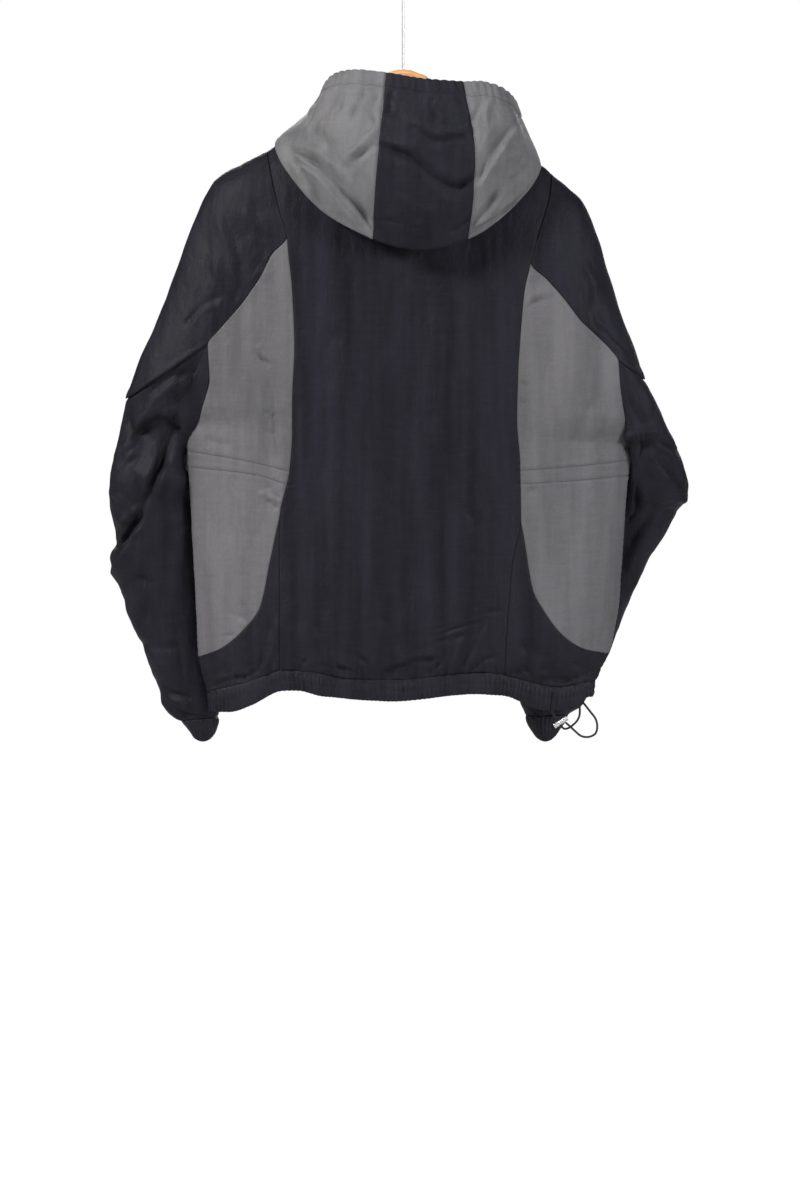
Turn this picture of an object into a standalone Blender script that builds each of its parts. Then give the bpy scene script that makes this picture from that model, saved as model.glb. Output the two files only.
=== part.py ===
"""A hooded windbreaker jacket on a wooden hanger.

Lengths are in millimetres until a mesh is made. Across is +X to the right as the jacket's back is faced,
drop is the distance below the seat of the hanger's hook, which is the origin, and the wearer's front is +Y.
"""
import math

import bpy
import bmesh
from mathutils import Vector

metre = 0.001               # one millimetre in metres
wall = 1.2                  # thickness of the cloth
seamGap = 0.3               # space between two pieces at a seam
tipGap = 1.6                # how far a pointed piece stops short of its tip
left, right = -1, 1
back, front = -1, 1

# ---------------------------------------------------------------- the garment's outline and seams

# the line over the shoulder and down the outside of the arm, (across, drop), from the neck to the cap seam
ridgeOf = {
    left: [(-87, 216), (-126, 238), (-165, 262), (-203, 281), (-242, 304), (-256, 324), (-265, 343),
           (-280, 382), (-294, 421), (-316, 480), (-341, 538), (-358, 586)],
    right: [(87, 223), (134, 256), (181, 288), (202, 304), (225, 324), (239, 343), (254, 382),
            (265, 421), (285, 480), (299, 518), (312, 561)],
}

# the panel's edge against the cap, the lower sleeve and then the other side's panel, (drop, across)
edgeOf = {
    left: [(268, -176), (304, -169), (343, -160), (380, -150), (402, -169), (429, -183), (464, -207),
           (500, -238), (517, -252), (560, -250), (585, -255), (617, -267), (637, -284), (667, -281),
           (710, -278), (756, -274), (841, -270), (923, -267), (954, -263), (970, -256)],
    right: [(295, 192), (314, 191), (377, 174), (413, 165), (435, 186), (461, 209), (487, 229),
            (507, 250), (526, 269), (538, 278), (563, 280), (593, 283), (633, 291), (648, 295),
            (669, 295), (698, 292), (785, 286), (855, 281), (906, 272), (942, 261), (955, 251)],
}
# the seam down each side of the centre back panel, (drop, across)
princessOf = {
    left: [(268, -176), (304, -169), (343, -160), (380, -150), (408, -147), (447, -143), (525, -140),
           (590, -143), (629, -143), (684, -147), (710, -153), (737, -159), (785, -160), (970, -160)],
    right: [(295, 192), (314, 191), (377, 174), (413, 165), (447, 157), (486, 153), (564, 148),
            (616, 147), (672, 151), (746, 152), (797, 142), (863, 136), (970, 130)],
}
# the curved lower edge of the grey panel, (drop, across)
curveOf = {
    left: [(737, -159), (799, -172), (858, -185), (889, -208), (912, -236), (924, -267)],
    right: [(746, 152), (773, 157), (836, 168), (867, 185), (892, 204), (912, 233), (920, 269)],
}
# the top seam and the bottom edge of the hem band, (across, drop)
hemTop = [(-256, 970), (-199, 955), (-155, 940), (-118, 942), (-72, 951), (-4, 952), (74, 944),
          (109, 943), (165, 955), (195, 962), (246, 955)]
hemBottom = [(-248, 995), (-230, 995), (-200, 986), (-159, 967), (-139, 966), (-103, 974), (-12, 980),
             (91, 971), (127, 972), (187, 992), (231, 989), (243, 976)]

# where the rows of the panels lie: name, drop at the left, drop at the right, rows down from the level above
levels = [
    ("shoulder", None, None, 0),    # on the shoulder line
    ("apex", 380, 413, 5),
    ("capEnd", 517, 538, 4),
    ("underarm", 637, 648, 3),
    ("lowerTip", 737, 746, 3),
    ("greyTip", 924, 920, 6),
    ("hem", 970, 955, 1),
]
shoulderSteps = [0.0, 0.05, 0.17, 0.38, 0.67, 1.0]      # rows are closer where the cloth turns over the hanger
curveSteps = [0.0, 0.2, 0.42, 0.63, 0.8, 0.93, 1.0]     # and where the grey panel's edge runs out to the side

# ---------------------------------------------------------------- the garment's depth

crestLength = 120           # how far below the shoulder line the panels reach their full depth
neckHalf = 87               # half the width of the neck
neckFall = {back: 22, front: 81}    # how far the neckline falls below the shoulders
armholeShare = 0.8          # depth at the armhole, as a share of the depth at the middle
sideFullness = 2.6          # a higher number makes the panels flatter and their sides rounder
# (drop, depth of the back, depth of the fronts)
depthRows = [(190, 50, 52), (380, 54, 54), (525, 58, 55), (680, 53, 50), (790, 56, 52), (880, 57, 53),
             (930, 50, 46), (955, 41, 38), (1000, 39, 36)]
# broad soft waves in the panels: (across, width, depth of the wave, drop at the top, drop at the bottom)
foldsOf = {
    back: [(-166, 22, -3.5, 540, 730), (-70, 60, 2.5, 420, 900), (10, 70, -2.5, 400, 880),
           (80, 60, 2.5, 430, 900), (215, 50, -3, 520, 820)],
    front: [(-190, 50, 3, 480, 880), (-95, 55, -3, 360, 900), (90, 60, 3, 380, 900), (200, 50, -3, 500, 860)],
}

# ---------------------------------------------------------------- the sleeves

capColumns = 12
armholeAngle = 105          # where the cap's seam ends on the sleeve, in degrees round from the outside
# sections from the cap's seam to the cuff: outer across, drop, inner across, drop, forward, half depth
sleeveRings = {
    left: [(-369, 632, -290, 662, 10, 42), (-381, 690, -283, 694, 19, 44), (-382, 726, -273, 719, 29, 43),
           (-374, 772, -265, 757, 34, 41), (-382, 801, -261, 783, 37, 41), (-364, 850, -257, 834, 41, 40),
           (-341, 908, -252, 900, 43, 38), (-320, 967, -245, 955, 45, 36), (-308, 997, -239, 986, 45, 34),
           (-290, 1009, -242, 1004, 45, 29)],
    right: [(339, 616, 301, 672, 12, 42), (362, 665, 289, 697, 27, 43), (372, 711, 275, 720, 46, 43),
            (347, 754, 256, 730, 58, 41), (321, 794, 234, 760, 66, 40), (298, 850, 207, 818, 74, 39),
            (276, 908, 182, 879, 77, 38), (256, 948, 165, 928, 76, 36), (237, 988, 153, 977, 73, 34),
            (216, 1003, 161, 1004, 72, 29)],
}
cuffRings = {
    left: [(-286, 1022, -240, 1019, 45, 28), (-279, 1033, -246, 1033, 45, 25)],
    right: [(208, 1016, 164, 1018, 72, 28), (199, 1028, 171, 1030, 72, 25)],
}
sleeveRows = 13

# ---------------------------------------------------------------- the hood, thrown back

# stations round the neck from one side of the zip to the other: angle at the neck, then the face edge
# (across, drop, forward), the middle of the outer face (across, forward), the fold (across, drop,
# forward) and the space between the two layers at the fold
hoodStations = [
    (4.285, -6.5, 232, 62, -6.5, 67, -6.5, 268, 65, 0),
    (35, -62, 222, 48, -72, 60, -72, 270, 62, 4),
    (65, -98, 207, 20, -120, 30, -134, 248, 26, 12),
    (90, -102, 197, -8, -126, -8, -156, 248, -6, 16),
    (108, -100, 182, -30, -117, -42, -165, 264, -34, 20),
    (128, -88, 170, -50, -116, -72, -146, 300, -60, 22),
    (146, -62, 165, -68, -84, -98, -104, 346, -78, 24),
    (165, -22, 169, -78, -31, -112, -39, 381, -92, 25),
    (182, 25, 177, -82, 30, -118, 22, 395, -96, 26),
    (200, 77, 180, -76, 92, -110, 84, 381, -90, 25),
    (216, 104, 180, -64, 122, -96, 124, 357, -78, 24),
    (234, 128, 188, -48, 148, -72, 161, 320, -62, 22),
    (252, 141, 198, -28, 154, -42, 178, 290, -36, 20),
    (270, 143, 208, -6, 158, -6, 170, 272, -6, 16),
    (296, 112, 216, 26, 136, 34, 146, 268, 28, 12),
    (325, 62, 228, 50, 72, 60, 72, 278, 62, 4),
    (355.715, 6.5, 232, 62, 6.5, 67, 6.5, 268, 65, 0),
]
hoodClear = 4.5             # how far the hood stays off the shoulders and the back
# where the hood's columns lie along its stations; the neckline has a corner at each of them
hoodPlaces = {
    "hood_left": [0, 0.7, 1.4, 2.2, 3, 4, 5, 6, 7],
    "hood_centre": [7, 7.5, 8, 8.5, 9],
    "hood_right": [9, 10, 11, 12, 13, 13.8, 14.6, 15.3, 16],
}
hoodRows = [0.0, 0.06, 0.11, 0.2, 0.3, 0.37, 0.42, 0.46, 0.52, 0.64, 0.78, 0.91, 1.0]
casingWave = 1.1            # how far the gathers of the hood's drawcord casing stand in and out

# ---------------------------------------------------------------- hem, cuffs and zip

bandWave = 1.1              # how far the gathers of the elastic bands stand in and out
bandPitch = 12              # from one gather of the hem band to the next
tapeHalf = 6.5              # width of one side of the zip
zipClear = 0.4              # half the space between the two sides of the zip

# ---------------------------------------------------------------- hanger

hookWire = 3.2
hookInner = 17              # inside radius of the hook's curl
shankStart = 66             # drop at which the hook's shank is straight
woodTop = 162               # drop of the top of the wood at the shank
woodSeat = 1.75             # from the shoulder line down to the top of the wood, the cloth's wall and all
# across, height of the wood; the tips of the wood lie at the first and the last row
woodHeights = [(-236, 17), (-232, 20), (-190, 24), (-120, 28), (-65, 31), (0, 32), (65, 31), (120, 28),
               (186, 24), (224, 20), (228, 17)]
# across, drop of the top of the wood where it rises out of the neck
woodCrown = [(-88, 221.5), (-80, 216.5), (-65, 203), (-45, 183), (-23, 167), (-10, 163), (0, 162), (10, 163), (29, 170),
             (45, 184), (65, 206), (80, 222.5), (88, 229)]
# the wood's section: across its thickness, down from the top as a share of its height
woodSection = [(0, 0, 0), (2, 1.1, 0), (4, 2.6, 0), (5.5, 5.0, 0), (6, 9, 0), (6, 0, 0.78), (4.6, 0, 0.93),
               (2, 0, 1)]

# ---------------------------------------------------------------- cord, lock and tether at the hem's corner

cordThick = 2.5
# across, drop, forward
cordRoutes = {
    "hem_cord_loop": [(234.5, 984.2, -6.5), (243, 994.5, -10), (250, 1004, -14), (252, 1013, -18), (250, 1022, -21),
                      (244, 1026, -23), (237, 1027, -24.5), (230, 1025, -26), (224, 1020, -26.8),
                      (217, 1013.5, -26.6), (210.7, 1007.9, -24.8)],
    "hem_cord_short": [(229.5, 989.4, -11), (229.6, 995, -12.5), (228.6, 1001, -15), (225.6, 1006.5, -18),
                       (221, 1011, -20.4), (215, 1015.2, -22), (209, 1016.2, -22.8), (204.2, 1011.7, -23.6)],
}
lockEnds = [(196, 1013, -24), (213, 1002, -24)]
# share of the lock's length, radius
lockProfile = [(0, 3.1), (0.02, 3.5), (0.08, 3.5), (0.10, 2.9), (0.20, 2.9), (0.23, 3.3), (0.30, 3.3), (0.33, 2.9),
               (0.44, 2.9), (0.47, 3.3), (0.54, 3.3), (0.57, 2.9), (0.68, 2.9), (0.71, 3.3), (0.78, 3.3),
               (0.81, 2.9), (0.90, 2.9), (0.92, 3.5), (0.98, 3.5), (1, 3.1)]
# middle of the tether across, drop, forward, and the way its width lies across and in drop
tetherRows = [(196, 968, -30.7, 3, 0), (195, 979, -30.4, 3, 0), (194, 988, -29.6, 3, 0),
              (195, 997, -27.2, 2.8, -0.9), (199.2, 1006.7, -24, 2.5, -1.6)]

# ---------------------------------------------------------------- zip slider and its pull tab

sliderDrop = 246            # drop of the slider's middle
sliderSize = (9, 3.2, 12)   # width, depth, height
bridgeReach = 3.6           # how far the middle of the slider's bridge stands off the slider
bridgeThick = 1.6
hingeOff = 1.5              # how far the tab's axis stands off the slider
pullColumns = [-3.5, -2.1, 2.1, 3.5]
pullRows = [0.7, -0.7, -4.9, -24, -27]      # up from the tab's axis
pullThick = 1.4

colours = {
    "shell_black": (0.026, 0.024, 0.031, 1), "shell_grey": (0.155, 0.150, 0.162, 1),
    "hood_grey": (0.185, 0.181, 0.192, 1), "wood": (0.80, 0.42, 0.17, 1), "wire": (0.62, 0.62, 0.62, 1),
    "zip_metal": (0.05, 0.05, 0.055, 1), "zip_tape": (0.02, 0.02, 0.022, 1), "lock_metal": (0.62, 0.61, 0.60, 1), "cord": (0.02, 0.02, 0.022, 1),
}


# ---------------------------------------------------------------- curves

def slopes(keys, values):
    """Slopes that keep a cubic curve through the points from overshooting between them."""
    steps = [(b - a) / (kb - ka) for a, b, ka, kb in zip(values, values[1:], keys, keys[1:])]
    inner = [0 if a * b <= 0 else 2 * a * b / (a + b) for a, b in zip(steps, steps[1:])]
    return [steps[0]] + inner + [steps[-1]]


def along(rows, key, column=1):
    """The value in a column of a table at a key, which is the table's first column."""
    keys = [row[0] for row in rows]
    values = [row[column] for row in rows]
    if key <= keys[0]:
        return values[0]
    if key >= keys[-1]:
        return values[-1]
    i = max(n for n in range(len(keys) - 1) if keys[n] <= key)
    rise = slopes(keys, values)
    span = keys[i + 1] - keys[i]
    t = (key - keys[i]) / span
    return ((1 + 2 * t) * (1 - t) ** 2 * values[i] + t * (1 - t) ** 2 * span * rise[i]
            + t * t * (3 - 2 * t) * values[i + 1] + t * t * (t - 1) * span * rise[i + 1])


def through(points, share):
    """A point on a smooth curve through points, at a share of its length."""
    reach = [0.0]
    for a, b in zip(points, points[1:]):
        reach.append(reach[-1] + (Vector(b) - Vector(a)).length)
    rows = [(r,) + tuple(p) for r, p in zip(reach, points)]
    return Vector([bend(rows, share * reach[-1], n + 1) for n in range(len(points[0]))])


def bend(rows, key, column):
    """A rounder curve than along makes: a Catmull-Rom spline with uneven keys."""
    keys = [row[0] for row in rows]
    values = [row[column] for row in rows]
    key = min(max(key, keys[0]), keys[-1])
    i = max(n for n in range(len(keys) - 1) if keys[n] <= key)
    def rise(n):
        lo, hi = max(n - 1, 0), min(n + 1, len(keys) - 1)
        return (values[hi] - values[lo]) / (keys[hi] - keys[lo])
    span = keys[i + 1] - keys[i]
    t = (key - keys[i]) / span
    return ((1 + 2 * t) * (1 - t) ** 2 * values[i] + t * (1 - t) ** 2 * span * rise(i)
            + t * t * (3 - 2 * t) * values[i + 1] + t * t * (t - 1) * span * rise(i + 1))


def mix(a, b, share):
    return a + (b - a) * share


# ---------------------------------------------------------------- the torso's surface

levelRow = {}
levelDrop = {left: [], right: []}


def layOutRows():
    """Number the rows of the panels and give each its drop at the left and at the right."""
    row = 0
    for number, (name, dropLeft, dropRight, rows) in enumerate(levels):
        if number == 0:
            dropLeft, dropRight = shoulderEnd(left), shoulderEnd(right)
            levelDrop[left].append(dropLeft)
            levelDrop[right].append(dropRight)
        steps = {"apex": shoulderSteps, "greyTip": curveSteps}.get(name)
        for n in range(1, rows + 1):
            share = steps[n] if steps else n / rows
            levelDrop[left].append(mix(above[0], dropLeft, share))
            levelDrop[right].append(mix(above[1], dropRight, share))
        above = (dropLeft, dropRight)
        row += rows
        levelRow[name] = row


def shoulderEnd(arm):
    """Drop at which the panel's edge meets the shoulder line."""
    x = edgeOf[arm][0][1]
    for _ in range(9):
        x = along(edgeOf[arm], ridgeDrop(x))
    return ridgeDrop(x)


def ridgeDrop(x):
    """Drop of the shoulder line, carried on across the neck."""
    rows = [p for p in reversed(ridgeOf[left]) if p[0] > -250] + [(0, 190)]
    rows += [p for p in ridgeOf[right] if p[0] < 235]
    return along(rows, x)


def neckPoint(angle):
    """Across and drop of the neckline at an angle round from the middle of the fronts."""
    turn = math.radians(angle)
    x = -neckHalf * math.sin(turn)
    side = front if math.cos(turn) > 0 else back
    fall = neckFall[side] * abs(math.cos(turn)) ** (1.3 if side == front else 0.8)
    return x, mix(ridgeOf[left][0][1], ridgeOf[right][0][1], (x + neckHalf) / (2 * neckHalf)) + fall


def topDrop(side, x):
    """Drop of the top edge of the back or the fronts: the shoulder line, then the neckline."""
    if abs(x) >= neckHalf:
        return ridgeDrop(x)
    turn = math.degrees(math.asin(-x / neckHalf))
    return neckPoint(turn if side == front else 180 - turn)[1]


def torsoForward(side, x, drop):
    """How far the surface lies forward of the middle of the garment, negative at the back."""
    arm = left if x < 0 else right
    half = abs(along(edgeOf[arm], max(drop, 517 if arm == left else 538)))
    share = min(abs(x) / half, 1.0)
    capEnd, underarm = (levels[2][1], levels[3][1]) if arm == left else (levels[2][2], levels[3][2])
    rise = min(max((underarm - drop) / (underarm - capEnd), 0.0), 1.0)
    edge = armholeShare * math.sqrt(1 - (1 - rise) ** 2)
    profile = edge + (1 - edge) * (1 - share ** sideFullness) ** mix(0.5, 1.0, rise)
    q = min(max((drop - ridgeDrop(x)) / crestLength, 0.0), 1.0)
    crest = math.sqrt(1 - (1 - q) ** 2)
    depth = along(depthRows, drop, 1 if side == back else 2)
    swell = 0.0
    for across, width, height, top, bottom in foldsOf[side]:
        if top < drop < bottom:
            lengthwise = math.sin(math.pi * (drop - top) / (bottom - top)) ** 2
            swell += height * lengthwise * math.exp(-((x - across) / width * 2) ** 2)
    return side * (depth * profile * crest + swell * min(1.0, 4 * (1 - share)))


def rowDrop(row, x, topX=None, side=back):
    """Drop of a row of the panels at a place across."""
    slide = min(max((x + 130) / 260, 0.0), 1.0)
    drop = mix(levelDrop[left][row], levelDrop[right][row], slide)
    apex = levelRow["apex"]
    if row < apex and topX is not None:
        apexDrop = mix(levelDrop[left][apex], levelDrop[right][apex], slide)
        return mix(topDrop(side, topX), apexDrop, shoulderSteps[row])
    if row > levelRow["greyTip"]:
        tip = mix(levelDrop[left][levelRow["greyTip"]], levelDrop[right][levelRow["greyTip"]], slide)
        share = (row - levelRow["greyTip"]) / (levelRow["hem"] - levelRow["greyTip"])
        return mix(tip, along(hemTop, x), share)
    return drop


def torsoPoint(side, x, drop):
    return Vector((x, torsoForward(side, x, drop), -drop))


def seamAcross(table, arm, row):
    """Across of a seam at a row."""
    x = along(table[arm], levelDrop[arm][row])
    if row > levelRow["greyTip"]:
        x = along(table[arm], along(hemTop, x))
    return x


def outerSeam(arm, row):
    return seamAcross(edgeOf, arm, row)


def princessSeam(arm, row):
    return seamAcross(princessOf, arm, row)


def greyInner(arm, row):
    """The grey panel's inner edge: the princess seam, then its own curve out to the side."""
    if row <= levelRow["lowerTip"]:
        return princessSeam(arm, row)
    return outerSeam(arm, row) if row == levelRow["greyTip"] else seamAcross(curveOf, arm, row)


def lowerOuter(arm, row):
    """The lower side piece's outer edge: the grey panel's curve, then the side seam."""
    return outerSeam(arm, row) if row > levelRow["greyTip"] else greyInner(arm, row)


def backCentreGrid(columns):
    grid = []
    ends = [seamAcross(princessOf, arm, 0) for arm in (left, right)]
    for row in range(levelRow["hem"] + 1):
        a, b = (seamAcross(princessOf, arm, row) for arm in (left, right))
        line = []
        for share in columns:
            x = mix(a, b, share)
            line.append(torsoPoint(back, x, rowDrop(row, x, mix(ends[0], ends[1], share))))
        grid.append(line)
    return grid


def sideGrid(arm, outer, inner, firstRow, lastRow, columns, side=back):
    """Rows between two seams, from the outer seam to the inner one."""
    grid = []
    for row in range(firstRow, lastRow + 1):
        a, b = outer(arm, row), inner(arm, row)
        line = []
        for n in range(columns + 1):
            x = mix(a, b, n / columns)
            line.append(torsoPoint(side, x, rowDrop(row, x)))
        grid.append(line)
    return grid


def frontGrid(arm, columns):
    """One front, from its outer edge to the zip."""
    grid = []
    centre = arm * tapeHalf
    topOuter = seamAcross(edgeOf, arm, 0)
    for row in range(levelRow["hem"] + 1):
        outer = seamAcross(edgeOf, arm, row)
        line = []
        for share in columns:
            x = mix(outer, centre, share)
            line.append(torsoPoint(front, x, rowDrop(row, x, mix(topOuter, centre, share), front)))
        grid.append(line)
    return grid


# ---------------------------------------------------------------- the arms

def capGrid(arm):
    """The cap over the shoulder: each row is an arc from the back seam over the shoulder to the front."""
    start = (outerSeam(arm, 0), levelDrop[arm][0])
    ridge = [start] + [p for p in ridgeOf[arm] if abs(p[0]) > abs(start[0]) + 2]
    lastRow = levelRow["capEnd"]
    seam = [(seamAcross(edgeOf, arm, row), levelDrop[arm][row]) for row in range(lastRow + 1)]
    reach = [0.0]
    for a, b in zip(seam, seam[1:]):
        reach.append(reach[-1] + math.dist(a, b))
    grid = []
    for row in range(lastRow + 1):
        x, drop = seam[row]
        top = through(ridge, reach[row] / reach[-1])
        line = []
        for n in range(capColumns + 1):
            turn = math.pi * n / capColumns
            out = math.sin(turn)
            side = back if n < capColumns / 2 else front
            forward = torsoForward(side, x, drop) * abs(math.cos(turn))
            line.append(Vector((mix(x, top[0], out), forward, -mix(drop, top[1], out))))
        grid.append(line)
    return grid


def ringPoint(ring, angle):
    """A point of a sleeve's section, at an angle round from the outside by way of the back."""
    outerX, outerDrop, innerX, innerDrop, forward, half = ring
    turn = math.radians(angle)
    share = (1 - math.cos(turn)) / 2
    return Vector((mix(outerX, innerX, share), forward - half * math.sin(turn),
                   -mix(outerDrop, innerDrop, share)))


def sleeveGrid(arm, rows):
    """The lower sleeve: rings from the cap's seam and the armhole down to the cuff."""
    seam = capGrid(arm)[-1]
    first, last = levelRow["capEnd"], levelRow["underarm"]
    armholeRows = list(range(first + 1, last + 1))
    backEdge = [torsoPoint(back, seamAcross(edgeOf, arm, r), levelDrop[arm][r]) for r in armholeRows]
    frontEdge = [torsoPoint(front, seamAcross(edgeOf, arm, r), levelDrop[arm][r]) for r in armholeRows]
    loop = seam + frontEdge[:-1] + list(reversed(backEdge))
    angles = [armholeAngle * (1 - 2 * n / capColumns) for n in range(capColumns + 1)]
    step = (180 - armholeAngle) / len(armholeRows)
    angles += [-armholeAngle - step * (n + 1) for n in range(len(armholeRows) - 1)]
    angles += [-180 - step * n for n in range(len(armholeRows))]
    columns = []
    for point, angle in zip(loop, angles):
        guide = [point] + [ringPoint(ring, angle) for ring in sleeveRings[arm]]
        rowsOf = [(n,) + tuple(p) for n, p in enumerate(guide)]
        last = len(guide) - 1
        columns.append([Vector([bend(rowsOf, last * n / rows, c) for c in (1, 2, 3)]) for n in range(rows + 1)])
    return [list(line) for line in zip(*columns)], angles


def cuffGrid(arm, angles):
    """The elastic cuff, gathered into waves below its top edge."""
    rings = [sleeveRings[arm][-1]] + cuffRings[arm]
    full = angles + [angles[0] - 360]
    fine = []
    for a, b in zip(full, full[1:]):
        fine += [(a, a, b, 0.0), (mix(a, b, 0.5), a, b, 0.5)]
    grid = []
    for number, ring in enumerate(rings):
        line = []
        for n, (angle, a, b, share) in enumerate(fine):
            if number == 0:
                line.append(ringPoint(ring, a).lerp(ringPoint(ring, b), share))
                continue
            point = ringPoint(ring, angle)
            middle = (ringPoint(ring, 0) + ringPoint(ring, 180)) / 2
            line.append(point + (point - middle).normalized() * bandWave * (1 if n % 2 else -1))
        grid.append(line)
    return grid


# ---------------------------------------------------------------- the hood

def hoodProfile(station):
    """Points of the hood's profile at a station: neck, turn, inner layer, fold, outer face, face edge."""
    angle, casX, casDrop, casY, midX, midY, foldX, foldDrop, foldY, roll = station
    x, drop = neckPoint(angle)
    side = front if math.cos(math.radians(angle)) > 0 else back
    neck = Vector((x, torsoForward(side, x, drop), -drop + seamGap))
    fold = Vector((foldX, foldY, -foldDrop))
    thrown = min(1.0, roll / 10)
    out = Vector((-math.sin(math.radians(angle)), math.cos(math.radians(angle)), 0))
    rise = neck.lerp(fold, 0.2).lerp(neck + out + Vector((0, 0, 9)), thrown)
    turn = neck.lerp(fold, 0.35).lerp(neck + out * 6 + Vector((0, 0, 9)), thrown)
    inner = neck.lerp(fold, 0.6).lerp(fold - out * roll + Vector((0, 0, 14)), thrown)
    edge = Vector((casX, casY, -casDrop))
    middle = Vector((midX, midY, mix(edge.z, fold.z, 0.45)))
    return [neck, rise, turn, inner, fold, middle, edge]


profileKeys = [0.0, 0.06, 0.11, 0.36, 0.44, 0.72, 1.0]


def stationAt(place):
    """The hood's sizes at a place along its stations."""
    numbered = [(n,) + station for n, station in enumerate(hoodStations)]
    return [bend(numbered, place, column + 1) for column in range(len(hoodStations[0]))]


def clearOfTorso(point):
    """A point moved off the shoulders and the back, up or outward, whichever is nearer."""
    x, forward, drop = point.x, point.y, -point.z
    side = front if forward > 0 else back
    surface = abs(torsoForward(side, x, drop)) + hoodClear
    if abs(x) > 250 or drop < ridgeDrop(x) - hoodClear or abs(forward) > surface:
        return point
    out = surface - abs(forward)
    lean = abs(forward) / along(depthRows, drop, 1 if side == back else 2)
    if lean > 0.97:
        return Vector((x, side * surface, -drop))
    up = drop - ridgeDrop(x) - crestLength * (1 - math.sqrt(1 - lean * lean)) + hoodClear
    if up <= 0:
        return point
    share = out * up / (out * out + up * up)
    return Vector((x, forward + side * share * up, -drop + share * out))


def hoodPoint(place, height):
    """A point of the hood at a place along the stations and a share of the way up its profile."""
    rows = [(k,) + tuple(p) for k, p in zip(profileKeys, hoodProfile(stationAt(place)))]
    point = Vector([bend(rows, height, c) for c in (1, 2, 3)])
    return clearOfTorso(point) if height > hoodRows[1] / 2 else point


def hoodGrid(places, rows):
    grid = []
    for height in rows:
        line = []
        for n, place in enumerate(places):
            point = hoodPoint(place, height)
            if height > 0.9 and 0 < n < len(places) - 1:
                middle = Vector((15, -10, point.z))
                point = point + (point - middle).normalized() * casingWave * (1 if n % 2 else -1)
            line.append(point)
        grid.append(line)
    return grid


# ---------------------------------------------------------------- from grids to walls of cloth

panels = {}     # name: grid, whether its columns close, a direction that its outside faces at its middle


def key(point):
    return tuple(round(c, 2) for c in point)


def gridTriangles(grid, closed):
    """Corner numbers of the triangles between the grid's points, which share a number where they meet."""
    numbers, points = {}, []
    index = []
    for line in grid:
        row = []
        for point in line:
            if key(point) not in numbers:
                numbers[key(point)] = len(points)
                points.append(point)
            row.append(numbers[key(point)])
        index.append(row)
    triangles = []
    columns = len(grid[0])
    for r in range(len(grid) - 1):
        for c in range(columns if closed else columns - 1):
            d = (c + 1) % columns
            a, b, e, f = index[r][c], index[r][d], index[r + 1][d], index[r + 1][c]
            for corner in ((a, b, e), (a, e, f)):
                if len(set(corner)) == 3:
                    triangles.append(corner)
    return points, triangles, index


def outward(points, triangles, facing):
    """Normals of a grid's points, turned to the side that faces the given way."""
    normals = [Vector((0, 0, 0)) for _ in points]
    for a, b, c in triangles:
        n = (points[b] - points[a]).cross(points[c] - points[a])
        for corner in (a, b, c):
            normals[corner] += n
    total = sum((n for n in normals), Vector((0, 0, 0)))
    sign = 1 if total.dot(facing) > 0 else -1
    return [n.normalized() * sign for n in normals]


def sharedNormals():
    """Normals of every panel, averaged where panels share a seam, so that their walls meet edge to edge."""
    found, pool = {}, {}
    for name, (grid, closed, facing, colour) in panels.items():
        points, triangles, index = gridTriangles(grid, closed)
        if callable(facing):
            normals = outward(points, triangles, Vector((0, 0, 1)))
            lean = sum(n.dot(p - facing(p)) for n, p in zip(normals, points))
            normals = normals if lean > 0 else [-n for n in normals]
        else:
            normals = outward(points, triangles, Vector(facing))
        found[name] = (points, triangles, index, normals)
        for point, normal in zip(points, normals):
            pool.setdefault(key(point), Vector((0, 0, 0)))
            pool[key(point)] += normal
    return found, pool


def pullIn(grid, points, index, closed):
    """Move the grid's edges in by half the seam gap, and its tips by the tip gap."""
    moved = [p.copy() for p in points]
    rows, columns = len(grid), len(grid[0])
    shift = {}
    for r in range(rows):
        tip = len(set(index[r])) == 1
        if tip:
            near = grid[1] if r == 0 else grid[-2]
            shift[index[r][0]] = (near[len(near) // 2] - grid[r][0]).normalized() * tipGap
            continue
        for c in range(columns):
            here = index[r][c]
            if not closed and c in (0, columns - 1):
                inward = grid[r][1 if c == 0 else columns - 2] - grid[r][c]
                lower, upper = grid[min(r + 1, rows - 1)][c], grid[max(r - 1, 0)][c]
                tangent = (lower - upper).normalized()
                inward = (inward - tangent * inward.dot(tangent)).normalized()
                shift[here] = shift.get(here, Vector((0, 0, 0))) + inward * seamGap / 2
            if r in (0, rows - 1):
                inward = grid[1 if r == 0 else rows - 2][c] - grid[r][c]
                before = grid[r][(c - 1) % columns if closed else max(c - 1, 0)]
                after = grid[r][(c + 1) % columns if closed else min(c + 1, columns - 1)]
                tangent = (after - before).normalized()
                inward = (inward - tangent * inward.dot(tangent)).normalized()
                shift[here] = shift.get(here, Vector((0, 0, 0))) + inward * seamGap / 2
    for number, move in shift.items():
        moved[number] += move
    return moved


def buildPanels(collection):
    """Thicken every panel inward along the normals that it shares with its neighbours.

    Solidify would tilt each panel's edge by its own faces alone, and the walls would cross at the seams.
    """
    found, pool = sharedNormals()
    for name, (grid, closed, facing, colour) in panels.items():
        points, triangles, index, normals = found[name]
        outer = pullIn(grid, points, index, closed)
        inner = [p - pool[key(q)].normalized() * wall for p, q in zip(outer, points)]
        count = len(outer)
        edges = set()
        for a, b, c in triangles:
            edges.update(((a, b), (b, c), (c, a)))
        faces = list(triangles) + [(c + count, b + count, a + count) for a, b, c in triangles]
        for a, b in edges:
            if (b, a) not in edges:
                faces += [(b, a, a + count), (b, a + count, b + count)]
        addMesh(name, outer + inner, faces, colour, collection)


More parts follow.
